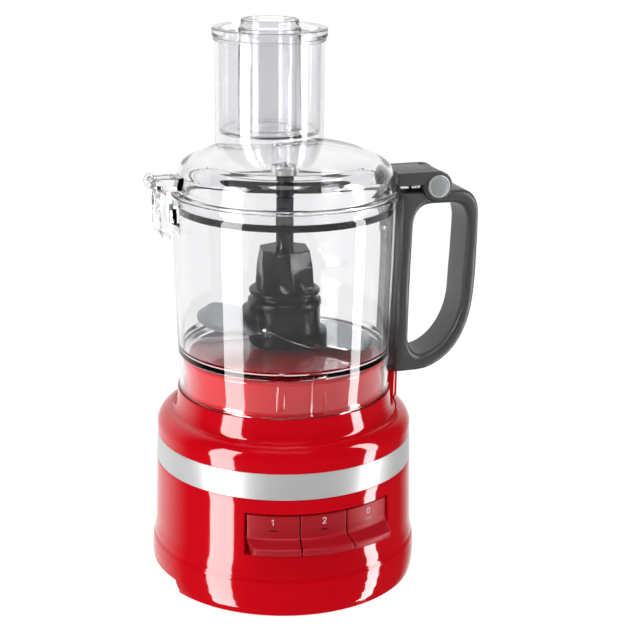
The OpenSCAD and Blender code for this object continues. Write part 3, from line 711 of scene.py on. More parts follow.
def bead(centres: Array, radius: float, sides: int = 10) -> Surface:
    """Round bead along a line of points.

    Each ring lies across the line: its plane is spanned by the direction away from the drive axis, and
    by the cross product of the line's direction with that.

    Args:
        centres: Points along the line.
        radius: The bead's radius.
        sides: Number of sides.

    Returns:
        The closed surface.
    """
    along = np.gradient(centres, axis=0)
    along /= np.linalg.norm(along, axis=1, keepdims=True)
    out = centres * np.array([1, 1, 0])
    out /= np.maximum(np.linalg.norm(out, axis=1, keepdims=True), 1e-9)
    side = np.cross(along, out)
    side /= np.maximum(np.linalg.norm(side, axis=1, keepdims=True), 1e-9)
    t = np.linspace(0, TURN, sides, endpoint=False)[None, :, None]
    return Surface(centres[:, None] + radius * (np.cos(t) * side[:, None] + np.sin(t) * out[:, None]),
                   False, True, True)


@dataclass
class Paddle:
    """One push button: a face with a lip below it, between two angles."""

    name: str
    start: float
    stop: float
    mark: Mark
    slant_start: bool = False
    slant_stop: bool = False
    foot_z: float = 46.9
    face_top: float = 75.4
    back_r: float = 88.0
    face_r: float = 91.95
    lip_r: float = 104.2
    mark_z: float = 70.6
    slot_z: float = 64.4
    gap: float = 0.26
    edge: float = 0.7

    def section(self) -> Profile:
        """Section through the lip and the face."""
        corners = [(self.back_r, self.foot_z), (101.8, 49.5), (103.6, 50.7), (self.lip_r, 54.3),
                   (103.2, 55.5), (96.5, 57.3), (93.2, 58.6), (92.1, 61.2), (self.face_r, self.face_top),
                   (self.back_r, self.face_top)]
        return rounded(corners, 1.1, steps=5)

    def ends(self, r: Array) -> tuple:
        """Start and stop angles at a radius; a slanted end moves in by 5 degrees from body to lip."""
        lean = 5.0 * np.clip((r - 92.6) / (self.lip_r - 92.6), 0, 1)
        return self.start + self.gap + lean * self.slant_start, self.stop - self.gap - lean * self.slant_stop

    def make(self) -> bpy.types.Object:
        """The button, with rounded ends."""
        outline = self.section()
        steps = 6
        q = np.radians(np.linspace(0, 90, steps))
        ramp, pull = self.edge * (1 - np.cos(q)), self.edge * (1 - np.sin(q))
        middle = np.linspace(0, 1, 22)
        inset = np.concatenate([pull, np.zeros(len(middle) - 2), pull[::-1]])
        flat = outline[None] - normals_of(outline)[None] * inset[:, None, None]
        r, z = flat[..., 0], flat[..., 1]
        start, stop = self.ends(r)
        first = start[:steps] + np.degrees(ramp[:, None] / r[:steps])
        last = stop[-steps:] - np.degrees(ramp[::-1, None] / r[-steps:])
        between = first[-1] + (last[0] - first[-1]) * middle[1:-1, None]
        a = np.radians(np.concatenate([first, between, last]))
        points = np.stack([r * np.sin(a), -r * np.cos(a), z], -1)
        return build(self.name + "_face", [Surface(points, False, True, True)])

    def on_face(self, across: Array, up: Array) -> Array:
        """Points on the face, from millimetres across and a height."""
        a = math.radians((self.start + self.stop) / 2) + np.asarray(across) / self.face_r
        return np.stack([self.face_r * np.sin(a), -self.face_r * np.cos(a), np.asarray(up)], -1)

    def make_mark(self) -> bpy.types.Object:
        """The figure on the face."""
        beads = []
        for stroke in self.mark.value:
            line = np.asarray(stroke, float)
            t = np.linspace(0, len(line) - 1, 8 * (len(line) - 1) + 1)
            u, v = (np.interp(t, np.arange(len(line)), line[:, k]) for k in (0, 1))
            beads.append(bead(self.on_face(u, v + self.mark_z), 0.3))
        return build(self.name + "_mark", beads)

    def make_indicator(self) -> bpy.types.Object:
        """Dark slot under the figure."""
        u = np.linspace(-2.6, 2.6, 12)
        return build(self.name + "_indicator", [bead(self.on_face(u, np.full(12, self.slot_z)), 0.45)])


@dataclass
class Bowl:
    """Clear work bowl with its skirt, raised floor, centre tube, latch catch and handle lugs."""

    foot_r: float = 75.0
    rim_r: float = 80.0
    seat_z: float = 139.7
    rim_z: float = RIM_Z
    wall: float = 2.4
    floor_z: float = 167.6
    tube_r: float = 13.6
    tube_z: float = 214.0

    def outside(self) -> Profile:
        """Outer wall from foot to rim."""
        return np.array([(self.foot_r + 0.8, self.seat_z), (self.foot_r + 1, self.seat_z + 1),
                         (self.foot_r + 0.2, 142), (self.foot_r, 143.5), (76, 158.5), (76.5, 173.5),
                         (77.4, 203.5), (78.4, 233.5), (78.8, 255), (79.2, 276), (self.rim_r, 280.5),
                         (self.rim_r, self.rim_z)])

    def profile(self) -> Profile:
        """Closed section through the skirt, wall, floor and centre tube."""
        outer = self.outside()
        inner = outer[:4:-1] - np.array([self.wall, 0])
        bore = self.tube_r - 1.8
        floor = [(73.9, 173.5), (72, self.floor_z + 2.6), (self.tube_r, self.floor_z + 2.6),
                 (self.tube_r, self.tube_z), (bore, self.tube_z), (bore, self.floor_z),
                 (73.8, self.floor_z), (73.4, 158.5), (72.6, 143.5), (73.4, self.seat_z)]
        return rounded(chain(outer, inner, floor), 0.7, steps=3)

    def make(self) -> bpy.types.Object:
        """The bowl with its fittings joined to the wall."""
        bowl = build("bowl_shell", [lathe(self.profile())])
        catch = slab(rounded([(-76.6, 262), (-83.5, 266), (-85, 268), (-85, 276), (-76.6, 277)], 1.0), 8, 0.8)
        lugs = [slab(rounded(oblong(76, right, low, low + 10), 0.8), 7)
                for low, right in ((150, 80.0), (252, 81.9))]
        ribs = [spun(shifted(plate(rounded(oblong(-w, w, -h, 0), 0.6), low, high, 0.5), (0, -74.6, 0)), turn)
                for w, h, low, high, turn in ((2, 1.7, 147, 166.4, -19.3), (5, 1.9, 141, 166.8, 0.5))]
        combine(bowl, How.ADD, catch, *lugs, *ribs)
        combine(bowl, How.CUT, slab(oblong(66, 79, 138, 142.9), 6.3, 0.2))
        return bowl


@dataclass
class Handle:
    """Loop handle with a finger hole, cheeks cut for the hinge and a knuckle."""

    half: float = 17.0
    edge: float = 4.5
    foot_z: float = 144.2
    top_z: float = 278.8
    heart: tuple = (111.0, 214.0)

    def loops(self, count: int = 200) -> tuple:
        """Finger hole and outside, sampled at the same angles about the hole's middle."""
        outer = chain(rounded([(79.4, 150), (79.4, self.foot_z), (98, self.foot_z)], 2.0, closed=False),
                      bezier((104, 144.8), (122, 149.5), (137, 165), (140.6, 195), 20),
                      bezier((141.2, 201), (142.4, 217), (142.8, 235), (142.6, 252), 12),
                      bezier((142.4, 262), (141.6, 272), (137, 277.8), (128, 278.2), 14),
                      rounded([(120, 278.4), (82.3, self.top_z), (82.1, 270)], 1.5, closed=False))
        hole = chain(bezier((90, 172), (90, 163), (94.5, 156.2), (101, 156.2), 12),
                     bezier((104, 156.6), (118, 160), (130.5, 176), (132, 198), 16),
                     bezier((134.2, 250), (134.2, 262), (130.5, 268.9), (122, 269.2), 12),
                     bezier((106, 269.4), (97, 269), (91.8, 264), (91.6, 252), 12))
        turns = np.linspace(-math.pi, math.pi, count, endpoint=False)
        return tuple(self.at_angles(loop, turns) for loop in (hole, outer))

    def at_angles(self, loop: Profile, turns: Array) -> Profile:
        """Where rays from the hole's middle meet a loop.

        The loop is first sampled finely, then its radius is read at each angle.
        """
        fine = resample(loop, 6000) - np.asarray(self.heart)
        angle, radius = np.arctan2(fine[:, 1], fine[:, 0]), np.hypot(fine[:, 0], fine[:, 1])
        order = np.argsort(angle)
        reach = np.interp(turns, angle[order], radius[order], period=TURN)
        return np.stack([np.cos(turns) * reach, np.sin(turns) * reach], -1) + np.asarray(self.heart)

    def loop_surface(self) -> Surface:
        """Ring of rounded rectangular sections between the hole and the outside.

        Each section runs from the hole (0) to the outside (1) and from -half to half in Y; a quarter
        circle of the edge's radius takes off each corner.
        """
        hole, outer = self.loops()
        width = np.linalg.norm(outer - hole, axis=1, keepdims=True)
        cut = np.minimum(self.edge, 0.42 * width)
        q = np.radians(np.linspace(0, 90, 7))
        places, depths = [], []
        for side, way in ((1, 1), (1, -1), (-1, -1), (-1, 1)):
            t = q if side * way > 0 else q[::-1]
            across = cut / width * (1 - np.cos(t))
            deep = cut * (1 - np.sin(t))
            places.append(1 - across if way > 0 else across)
            depths.append(side * (self.half - deep))
        at, y = np.concatenate(places, 1), np.concatenate(depths, 1)
        flat = hole[:, None] + (outer - hole)[:, None] * at[..., None]
        return Surface(np.stack([flat[..., 0], y, flat[..., 1]], -1), True, True)

    def make(self) -> bpy.types.Object:
        """The handle, cut for the hinge's cheeks, its pin and the interlock rod."""
        handle = build("handle", [self.loop_surface()])
        combine(handle, How.ADD, disc_along_y(*HINGE_AT, rounded(oblong(AXIS, 10.5, -11.6, 11.6), 0.6)))
        cheeks = [disc_along_y(*HINGE_AT, oblong(AXIS, 11.4, low, high))
                  for low, high in ((11.7, 22), (-22, -11.7))]
        rod = shifted(lathe(oblong(AXIS, 2.3, 130, 290)), (ROD_X, 0, 0))
        combine(handle, How.CUT, *cheeks, rod)
        combine(handle, How.CUT, disc_along_y(*HINGE_AT, oblong(AXIS, 3.1, -30, 30)))
        crisp(handle.data, 30)
        return handle


@dataclass
class Lid:
    """Clear domed lid with its feed tube, hinge tongue and latch lug."""

    rim_z: float = RIM_Z
    dome_z: float = 316.5
    wall: float = 2.4
    skirt_r: float = 75.3
    tube_r: float = 39.0
    tube_z: float = 385.5
    boss_r: float = 9.5

    def dome(self) -> Profile:
        """Outer profile from the flange to the crown."""
        return chain(rounded([(79, self.rim_z + 0.3), (80, self.rim_z + 0.3), (80, self.rim_z + 2),
                              (77.8, self.rim_z + 2.9), (77.4, 289), (76.2, 293)], 0.6, closed=False),
                     bezier((75.4, 297), (74.8, 301.5), (71, 304), (67, 305.2), 14),
                     bezier((64, 306.6), (57, 311), (46, 315), (0, self.dome_z), 26))

    def inside(self) -> Profile:
        """Inner profile, one wall further in."""
        flange = [(0, 260), (self.skirt_r - 1.7, 260), (self.skirt_r - 1.7, 288), (73.4, 292)]
        curve = chain(bezier((72.9, 295), (72.2, 299), (69.8, 301.6), (66, 302.9), 12),
                      bezier((63, 304.1), (56, 308.5), (45, 312.6), (0, self.dome_z - self.wall), 22))
        return chain(flange, curve)

    def make(self) -> bpy.types.Object:
        """The lid as one closed piece."""
        skirt = [(0, 271), (self.skirt_r - 0.3, 271), (self.skirt_r, 271.4), (self.skirt_r, self.rim_z + 0.3)]
        lid = build("lid_shell", [lathe(chain(skirt, self.dome()), closed=False)])
        top = self.tube_z
        lip = rounded([(self.tube_r, top - 2.6), (self.tube_r + 1.2, top - 2.4), (self.tube_r + 1.2, top),
                       (self.tube_r - 2, top)], 0.6, closed=False)
        tube = chain((0, 293), (self.tube_r, 293), (self.tube_r, top - 2.9), lip, (0, top))
        combine(lid, How.ADD, shifted(lathe(tube, closed=False), (0, TUBE_Y, 0)))
        ear = slab(rounded([(-72, 288.6), (-93.5, 288.6), (-96.3, 289.6), (-97.9, 293), (-96.3, 296.4),
                            (-93.5, 297.4), (-72, 297.4)], 0.9), 9, 0.7)
        tongue = slab(rounded([(77.4, 280.8), (97.5, 280.8), (97.5, 283.8), (77.4, 284.6)], 0.7), 12)
        combine(lid, How.ADD, ear, tongue)
        combine(lid, How.CUT, lathe(self.inside(), closed=False))
        feed = lathe(oblong(0, self.tube_r - 2.5, 262, 400), closed=False)
        combine(lid, How.CUT, shifted(feed, (0, TUBE_Y, 0)))
        combine(lid, How.ADD, lathe(rounded([(6.65, 293), (self.boss_r, 293), (self.boss_r, 315), (AXIS, 315),
                                             (AXIS, 303), (6.65, 301)], 0.5)))
        combine(lid, How.CUT, disc_along_y(*LATCH_AT, oblong(AXIS, 1.6, -20, 20), 24))
        crisp(lid.data, 34)
        return lid

    def gasket(self) -> bpy.types.Object:
        """Black seal with three lips."""
        z = np.linspace(271.6, 276.4, 25)
        lips = 75.85 + 0.34 * np.abs(np.cos((z - 271.6) / 4.8 * 3 * math.pi))
        ring = chain(np.stack([lips, z], -1), (75.36, 276.4), (75.36, 271.6))
        return build("gasket", [lathe(ring)])


@dataclass
class Hinge:
    """Grey arm on the lid that ends in two cheeks, and its silver caps."""

    cheek_r: float = 10.9
    half: float = 18.0
    low: float = 283.9
    cap_r: float = 8.3

    def arm(self) -> bpy.types.Object:
        """Arm and cheeks."""
        top = HINGE_AT[1] + self.cheek_r
        back = (78.3, self.low), (78.3, top)
        cheek = rounded(chain(back[0], arc(HINGE_AT, self.cheek_r, 172.6, 450, 40), back[1]), 0.8)
        throat = rounded(chain(back[0], arc(HINGE_AT, 11.1, 172.5, 112, 12), (104.8, top), back[1]), 0.5)
        sides = [slab(cheek, 3.0, 1.0, s * (self.half - 3.0)) for s in (-1, 1)]
        return build("hinge_arm", [*sides, slab(throat, 12.4, 0.2)])

    def caps(self) -> bpy.types.Object:
        """Two caps, each with a raised rim and a shallow dish."""
        low, high, r = self.half, self.half + 1.4, self.cap_r
        near = rounded([(0, low), (r, low), (r, high - 0.3), (r - 0.5, high), (r - 1.3, high),
                        (r - 1.7, high - 0.5), (r - 2.1, high - 0.1), (0, high - 0.05)], 0.15, closed=False)
        faces = [disc_along_y(*HINGE_AT, p) for p in (near, near * np.array([1, -1]))]
        for face in faces:
            face.wrap_cols = False
        return build("pivot_caps", faces)


@dataclass
class Latch:
    """Clear latch lever that hangs from the lid's lug, with its nib beside the bowl's catch."""

    half: float = 13.5

    def make(self) -> bpy.types.Object:
        """Hooked plate and the two ears that hold its pin."""
        sheet = rounded([(-92.6, 264), (-91, 257.4), (-87, 256.6), (-85.4, 258), (-85.4, 260.4), (-87, 262),
                         (-86.6, 284), (-88, 287.4), (-92.6, 287.4)], 1.0)
        lever = build("latch", [slab(sheet, self.half, 1.0)])
        ear = rounded(chain((-98.2, 292), (-92.6, 280), (-88, 284), arc(LATCH_AT, 4.75, -5, 185, 20)), 0.5)
        combine(lever, How.ADD, *(slab(ear, 1.0, 0.4, s * (self.half - 1.05)) for s in (-1, 1)))
        combine(lever, How.CUT, disc_along_y(*LATCH_AT, oblong(AXIS, 1.52, -30, 30), 24))
        return lever


@dataclass
class Pushers:
    """Large pusher for the feed tube and the small cup inside it, both clear."""

    at: tuple = (0.0, TUBE_Y, 0.0)
    foot: float = 318.2
    large_r: float = 35.9
    flange_r: float = 41.0
    flange_z: float = 391.5
    small_r: float = 19.9
    top_z: float = 397.3

    def large(self) -> bpy.types.Object:
        """Large pusher with its flange and its sleeve for the small one."""
        low, top = self.foot, self.flange_z
        ring = rounded([(20.3, low), (self.large_r, low), (self.large_r, top - 5.8),
                        (self.flange_r, top - 5.8), (self.flange_r, top), (33.9, top), (33.9, low + 2.5),
                        (22.3, low + 2.5), (22.3, top), (20.3, top)], 0.7)
        return build("pusher_large", [shifted(lathe(ring), self.at)])

    def small(self) -> bpy.types.Object:
        """Small pusher, an open cup with a lip."""
        low, top = self.foot, self.top_z
        cup = chain((0, low), rounded([(3, low), (self.small_r, low), (self.small_r, top - 5.6),
                                       (self.small_r + 0.7, top - 5.6), (self.small_r + 0.7, top),
                                       (self.small_r - 1.8, top), (self.small_r - 1.8, low + 2.5),
                                       (3, low + 2.5)], 0.7, closed=False), (0, low + 2.5))
        return build("pusher_small", [shifted(lathe(cup, closed=False), self.at)])


@dataclass
class Blade:
    """Chopping blade: fluted stem, hub with a six-sided neck, and two swept blades."""

    stem_r: float = 6.2
    hub_r: float = 25.6
    foot_z: float = 171.6
    hub_top: float = 241.5
    socket_r: float = 14.5
    lower_z: float = 174.0
    upper_z: float = 190.0
    thick: float = 1.6
    scoop: float = 2.2

    def stem(self) -> bpy.types.Object:
        """Stem with eight flutes, a clip groove and a turned tip."""
        z = np.linspace(236, 276, 24)
        side = np.stack([np.full(24, self.stem_r), z], -1)
        outline = chain((0, 233.8), (self.stem_r, 233.8), side, (self.stem_r, 277), (5, 277.2), (5, 279.8),
                        (self.stem_r, 280), (self.stem_r, 289.9), (self.stem_r - 0.6, 290.5), (4.5, 290.5),
                        (4.5, 297), (3.6, 298), (0, 298))

        def flute(r: Array, z: Array, a: Array) -> tuple:
            """Takes a rounded groove off the wall eight times round, between the two ends."""
            deep = 1.0 * np.clip(np.cos(8 * a), 0, 1) ** 0.5
            where = smooth_step(z, 242.5, 245) * smooth_step(-z, -276.5, -274.5)
            return np.where(r > 5.5, r - deep * where, r), z

        return build("stem", [lathe(outline, np.linspace(0, TURN, 192, endpoint=False), False, flute)])

    def neck(self, r: Array, z: Array, a: Array) -> tuple:
        """Turns the neck six-sided: the radius follows a hexagon's side, which is its inner radius
        over the cosine of the angle from the side's middle, each side leans a little round, and a
        bell-shaped scoop is taken out of the foot of each."""
        part = (a + (z - 212) * 0.006) % (math.pi / 3) - math.pi / 6
        side = math.cos(math.pi / 6) / np.cos(part)
        wall = r > 18.5
        six = smooth_step(z, 212.2, 212.8) * wall
        scoop = self.scoop * np.exp(-((z - 218) / 5.5) ** 2) * np.cos(3 * part) ** 2 * six
        return r * (1 + (side - 1) * six) - scoop, z

    def hub(self) -> bpy.types.Object:
        """Hub with its rings, blade roots and the sloping ledge between them."""
        foot, r = self.foot_z, self.hub_r
        lower = rounded([(self.socket_r, foot), (r - 1, foot), (r, foot + 2), (r, 200), (26.4, 201.2),
                         (26.2, 204.5), (23, 207), (22.8, 208.5), (25.2, 209.4), (25.6, 211), (24.6, 212.2),
                         (21.6, 212.9)], 0.7, closed=False, steps=3)
        z = np.linspace(213.2, 228, 10)
        neck = chain(np.stack([np.interp(z, [212, 228], [21.5, 21.0]), z], -1), (20.9, 229),
                     (19.2, self.hub_top - 0.6), (18.6, self.hub_top), (self.stem_r + 0.1, self.hub_top),
                     (self.stem_r + 0.1, 234),
                     (7, 226), (7, 216), (self.socket_r, 216))
        body = lathe(chain(lower, neck), np.linspace(0, TURN, 192, endpoint=False), True, self.neck)
        start, stop = math.degrees(math.asin(-22 / 31)), math.degrees(math.asin(18 / 31))
        outline = rounded(chain((20, -22), arc((0, 0), 30.9, start, stop, 24), (20, 18)), 1.2)
        roots = [spun(plate(outline, low - 2, low - 2 + 9.6, 1.2), turn)
                 for turn, low in ((0, self.lower_z), (180, self.upper_z))]
        ledge = rounded([(r - 2, -2.4), (r + 0.8, -2.2), (r + 1.6, -0.6), (r - 2, -0.5)], 0.4)
        return build("hub", [body, *roots, *self.ramps(ledge)], 24)

    def ramps(self, section: Profile) -> list:
        """A section carried down each side of the hub, from the upper blade's level to the lower one's.

        Args:
            section: Closed outline of radius and height.

        Returns:
            The two surfaces.
        """
        drop = self.upper_z - self.lower_z + 1.6

        def slope(r: Array, z: Array, a: Array) -> tuple:
            """Lowers the section evenly with the angle."""
            return r, z + self.upper_z + 0.4 - drop * (a + 0.96) / 1.43

        return [spun(lathe(section, np.linspace(-0.96, 0.56, 36), True, slope), turn) for turn in (0, 180)]

    def ramp_edges(self) -> bpy.types.Object:
        """Steel strips on the hub's two ramps, which join the blades."""
        r = self.hub_r
        strip = rounded([(r - 1, -0.5), (r + 2.6, -0.4), (r + 2.9, 0.0), (r + 2.6, 0.4), (r - 1, 0.5)], 0.2)
        return build("blade_ramps", self.ramps(strip), 24)

    def outline(self) -> Profile:
        """One blade, from its root round its leading edge to the tip and back."""
        return chain((16, 4), (15, 17), bezier((20, 26), (32, 41), (54, 33), (60, 6), 28),
                     bezier((61.5, -7), (60.5, -23), (55, -36), (46, -42), 22),
                     bezier((41, -45), (36, -43.5), (32.5, -40.5), (29, -35.5), 10),
                     bezier((25.5, -31), (22, -27), (20, -24), (18, -14), 8))

    def blade(self, name: str, turn: float, low: float) -> bpy.types.Object:
        """One blade, ground to an edge along its leading side.

        Args:
            name: The piece's name.
            turn: Angle about the axis, in degrees.
            low: Height of its underside.

        Returns:
            The blade.
        """
        line = self.outline()
        along = np.linspace(0, 1, len(line))
        ground = smooth_step(along, 0.05, 0.1) * smooth_step(-along, -0.74, -0.68)
        out = normals_of(line)
        levels = [(0.0, 0.15, 0.05), (0.15, 0.0, 0.0), (0.3, 0.0, 0.0), (self.thick - 0.1, 0.05, 4.6),
                  (self.thick, 0.2, 5.0)]
        rows = [np.column_stack([line - out * (edge + (grind - edge) * ground)[:, None],
                                 np.full(len(line), low + up)]) for up, edge, grind in levels]
        return build(name, [spun(Surface(np.stack(rows), False, True, True), turn)], 12)


@dataclass
class Fittings:
    """Foot ring, the bush where a lead goes in, and the interlock's two springs."""

    ring_r: float = 67.5
    half: float = 3.5
    height: float = 4.0

    def feet(self) -> bpy.types.Object:
        """Rubber foot ring, with two grooves under it and ribbed sides."""
        r, w, h = self.ring_r, self.half, self.height
        under = [(r - w + 0.3, 0), (r - 1.6, 0), (r - 1.3, 0.6), (r - 0.7, 0.6), (r - 0.4, 0), (r + 0.4, 0),
                 (r + 0.7, 0.6), (r + 1.3, 0.6), (r + 1.6, 0), (r + w - 0.3, 0)]
        sides = [(r + w, 0.4), (r + w, 1.6), (r + w - 0.5, 2.0), (r + w, 2.4), (r + w, h), (r - w, h),
                 (r - w, 2.4), (r - w + 0.5, 2.0), (r - w, 1.6), (r - w, 0.4)]
        return build("feet", [lathe(np.array(under + sides))])

    def inlet(self) -> bpy.types.Object:
        """Ribbed bush on the back."""
        ring = rounded([(3.6, 86), (9, 86), (9, 90), (7, 90.2), (7, 91.6), (6.3, 91.8), (6.3, 92.8), (7, 93),
                        (7, 94.4), (6.3, 94.6), (6.3, 95.6), (7, 95.8), (6.8, 98), (3.6, 98)], 0.2)
        return build("inlet", [disc_along_y(0, 20, ring)])

    def rod_spring(self) -> bpy.types.Object:
        """Coil round the rod in the handle."""
        return build("rod_coil", [coil((ROD_X, 0), 2.9, 0.35, 263.1, 270.4, 6)])

    def plunger_spring(self) -> bpy.types.Object:
        """Coil round the plunger in the base."""
        return build("plunger_coil", [coil((PLUNGER_X, 0), 2.9, 0.28, 122.1, 135.5, 9)])


# ---------------------------------------------------------------- studio

@dataclass(frozen=True)
class Softbox:
    """Rectangular light that faces the object, or a bright card that only shows in gloss.

    The azimuth is its direction from the object in degrees, from the front towards +X, and the
    radiance is how bright its face is, where 1 is a white surface in full light.
    """

    name: str
    azimuth: float
    away: float
    height: float
    width: float
    tall: float
    radiance: float
    card: bool = False

    def make(self) -> None:
        """Adds the light, which is seen by gloss if it is a card and otherwise by matt surfaces."""
        lamp = bpy.data.lights.new(self.name, "AREA")
        lamp.shape = "RECTANGLE"
        lamp.size, lamp.size_y = self.width * MM, self.tall * MM
        lamp.energy = self.radiance * math.pi * self.width * self.tall * MM * MM
        a = math.radians(self.azimuth)
        place = Vector((self.away * math.sin(a), -self.away * math.cos(a), self.height)) * MM
        aim = Vector((0, 0, min(0.2, self.height * MM)))
        turn = (aim - place).to_track_quat("-Z", "Y").to_matrix().to_4x4()
        seat = bpy.data.objects.new(self.name, lamp)
        seat.matrix_world = Matrix.Translation(place) @ turn
        seat.visible_glossy = self.card
        seat.visible_diffuse = not self.card
        bpy.context.scene.collection.objects.link(seat)


@dataclass
class Studio:
    """Pale floor, soft lights and the camera."""

    eye: tuple = (-335.7, -1039.4, 531.9)
    heading: float = 19.054
    pitch: float = 17.317
    roll: float = 0.68
    lens: float = 91.11
    sky: tuple = (0.045, 1.0)
    bounces: int = 28
    lights: tuple = (
        Softbox("fill_left", -71.9, 1300, 620, 520, 1400, 4.0),
        Softbox("fill_right", 63.0, 1300, 620, 300, 1400, 5.4),
        Softbox("fill_top", -20.0, 600, 1500, 900, 700, 4.2),
        Softbox("card_left", -71.9, 1300, 100, 520, 2600, 13.0, True),
        Softbox("card_right", 63.0, 1300, 100, 290, 2600, 13.0, True),
        Softbox("card_top", -20.0, 600, 1500, 900, 500, 9.0, True),
    )

    def camera(self) -> None:
        """Camera with its place, heading, pitch and a slight roll."""
        made = bpy.data.cameras.new("camera")
        made.lens = self.lens
        seat = bpy.data.objects.new("camera", made)
        bpy.context.scene.collection.objects.link(seat)
        h, p = math.radians(self.heading), math.radians(self.pitch)
        ahead = Vector((math.sin(h) * math.cos(p), math.cos(h) * math.cos(p), -math.sin(p)))
        level = Vector((math.cos(h), -math.sin(h), 0))
        up = level.cross(ahead)
        c, s = math.cos(math.radians(self.roll)), math.sin(math.radians(self.roll))
        right = level * c + up * s
        up = right.cross(ahead)
        turn = Matrix((right, up, -ahead)).transposed().to_4x4()
        seat.matrix_world = Matrix.Translation(Vector(self.eye) * MM) @ turn
        bpy.context.scene.camera = seat

    def world(self) -> None:
        """Dim room in front and white behind, by the direction's Y."""
        world = bpy.data.worlds.new("studio")
        bpy.context.scene.world = world
        world.use_nodes = True
        tree = Tree(world.node_tree)
        way = tree.node("ShaderNodeTexCoord", out="Generated")
        y = tree.node("ShaderNodeSeparateXYZ", {}, {"Vector": way}, "Y")
        amount = tree.node("ShaderNodeMapRange", {"interpolation_type": "SMOOTHSTEP"},
                           {"Value": y, "From Min": 0.3, "From Max": 0.85})
        dim, bright = ((v, v, v, 1.0) for v in self.sky)
        glow = tree.node("ShaderNodeBackground", {}, {"Color": tree.mix(amount, dim, bright)})
        tree.node("ShaderNodeOutputWorld", {}, {"Surface": glow})

    def floor(self) -> None:
        """Pale floor that reaches past the picture on all sides."""
        disc = lathe(np.array([(0, -0.4), (60000, -0.4)]), np.linspace(0, TURN, 64, endpoint=False), False)
        ground = build("floor", [disc])
        ground.data.flip_normals()
        made = bpy.data.materials.new("floor")
        made.use_nodes = True
        tree = Tree(made.node_tree)
        surface = tree.node("ShaderNodeBsdfPrincipled", {}, {
            "Base Color": tree.mix(tree.noise(3.0), (0.27, 0.27, 0.27, 1), (0.25, 0.25, 0.25, 1)),
            "Roughness": 0.6, "Specular IOR Level": 0.2,
            "Emission Color": (1.0, 1.0, 1.0, 1.0), "Emission Strength": 0.9})
        tree.node("ShaderNodeOutputMaterial", {}, {"Surface": surface})
        ground.data.materials.append(made)
        ground.visible_glossy = ground.visible_shadow = False

    def make(self) -> None:
        """Camera first, then lights, world and floor."""
        self.camera()
        for light in self.lights:
            light.make()
        self.world()
        self.floor()
        scene = bpy.context.scene
        scene.view_settings.view_transform = "Standard"
        scene.cycles.max_bounces = scene.cycles.transmission_bounces = self.bounces
        scene.cycles.transparent_max_bounces = 16


# ---------------------------------------------------------------- assembly

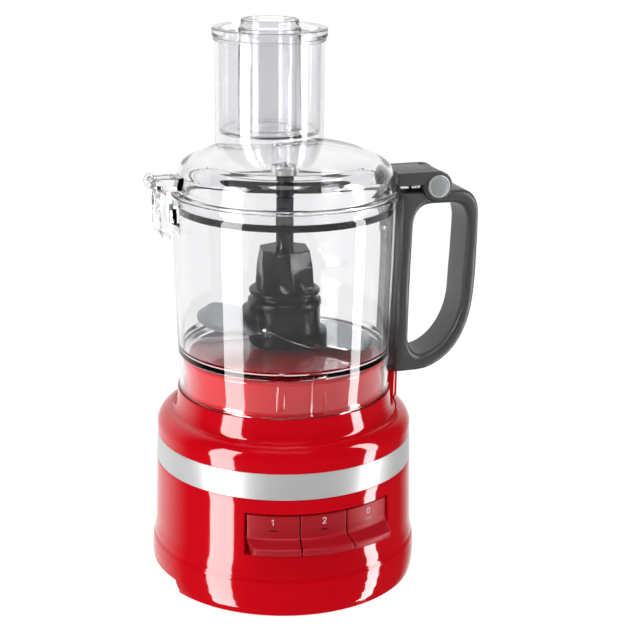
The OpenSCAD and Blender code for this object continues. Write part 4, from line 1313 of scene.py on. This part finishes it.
@dataclass
class FoodProcessor:
    """The whole machine: its pieces, and the finishes of the CAD nodes that stay as they are."""

    finishes: dict = field(default_factory=dict)

    def add(self, piece: Piece, made: bpy.types.Object) -> None:
        """Fits out one piece."""
        piece.fit_out(made, self.finishes)

    def base(self) -> None:
        """Housing, band, feet, inlet and the three buttons."""
        housing = Housing()
        self.add(Piece("housing", "base", "red_gloss", ("base_housing",)), housing.make())
        self.add(Piece("band", "base", "band_silver", ("trim_band",)), housing.band())
        fittings = Fittings()
        self.add(Piece("feet", "base", "black_rubber", ("rubber_feet",)), fittings.feet())
        self.add(Piece("inlet", "base", "black_rubber", ("cord_inlet",)), fittings.inlet())
        self.add(Piece("plunger_coil", "base", "steel", ("interlock_spring",)), fittings.plunger_spring())
        self.add(Piece("rod_coil", "bowl", "steel", ("rod_spring",)), fittings.rod_spring())
        half = housing.window_half - 0.3
        for paddle in (Paddle("button_1", -half, -10.5, Mark.ONE, slant_start=True),
                       Paddle("button_2", -10.5, 10.8, Mark.TWO),
                       Paddle("button_pulse", 10.8, half, Mark.NOUGHT, slant_stop=True)):
            body = paddle.name
            self.add(Piece(paddle.name + "_face", body, "red_satin", (paddle.name,)), paddle.make())
            self.add(Piece(paddle.name + "_mark", body, "red_satin", (), "mark_white"), paddle.make_mark())
            self.add(Piece(paddle.name + "_indicator", body, "red_satin", (), "indicator"),
                     paddle.make_indicator())

    def bowl(self) -> None:
        """Bowl and its handle."""
        self.add(Piece("bowl_shell", "bowl", "clear_plastic", ("bowl",)), Bowl().make())
        self.add(Piece("handle", "bowl", "dark_grey_plastic", ("bowl_handle",)), Handle().make())

    def lid(self) -> None:
        """Lid, seal, hinge arm, caps, latch and pushers."""
        lid = Lid()
        self.add(Piece("lid_shell", "lid", "clear_plastic", ("lid",)), lid.make())
        self.add(Piece("gasket", "lid", "black_rubber", ("lid_gasket",)), lid.gasket())
        hinge = Hinge()
        self.add(Piece("hinge_arm", "lid", "dark_grey_plastic", ("lid_arm",)), hinge.arm())
        self.add(Piece("pivot_caps", "lid", "silver_cap", ("hinge_caps",)), hinge.caps())
        self.add(Piece("latch", "latch", "clear_plastic", ("latch_lever",)), Latch().make())
        pushers = Pushers()
        self.add(Piece("pusher_large", "large_pusher", "clear_plastic", ("large_pusher",)), pushers.large())
        self.add(Piece("pusher_small", "small_pusher", "clear_plastic", ("small_pusher",)), pushers.small())

    def blade(self) -> None:
        """Stem, hub and the two blades."""
        blade = Blade()
        self.add(Piece("stem", "blade", "dark_steel", ("drive_stem",)), blade.stem())
        self.add(Piece("hub", "blade", "black_plastic", ("blade_hub",), "hub_plastic"), blade.hub())
        self.add(Piece("blade_ramps", "blade", "blade_steel"), blade.ramp_edges())
        self.add(Piece("blade_lower", "blade", "blade_steel", ("lower_blade",)),
                 blade.blade("blade_lower", 0, blade.lower_z))
        self.add(Piece("blade_upper", "blade", "blade_steel", ("upper_blade",)),
                 blade.blade("blade_upper", 180, blade.upper_z))

    def carried(self) -> None:
        """Finishes for every CAD node, by its material slot."""
        for part in frame["record"]["subparts"]:
            node = frame["nodes"][part["node"]]
            node.data.materials.clear()
            node.data.materials.append(self.finishes[part["material_slot"]])

    def make(self) -> None:
        """Builds everything."""
        self.finishes = {name: finish.material() for name, finish in FINISHES.items()}
        self.carried()
        self.base()
        self.bowl()
        self.lid()
        self.blade()


def main() -> None:
    """Builds the studio and the machine."""
    logging.basicConfig(level=logging.INFO, format="%(name)s: %(message)s")
    Studio().make()
    FoodProcessor().make()


if __name__ == "__main__":
    main()
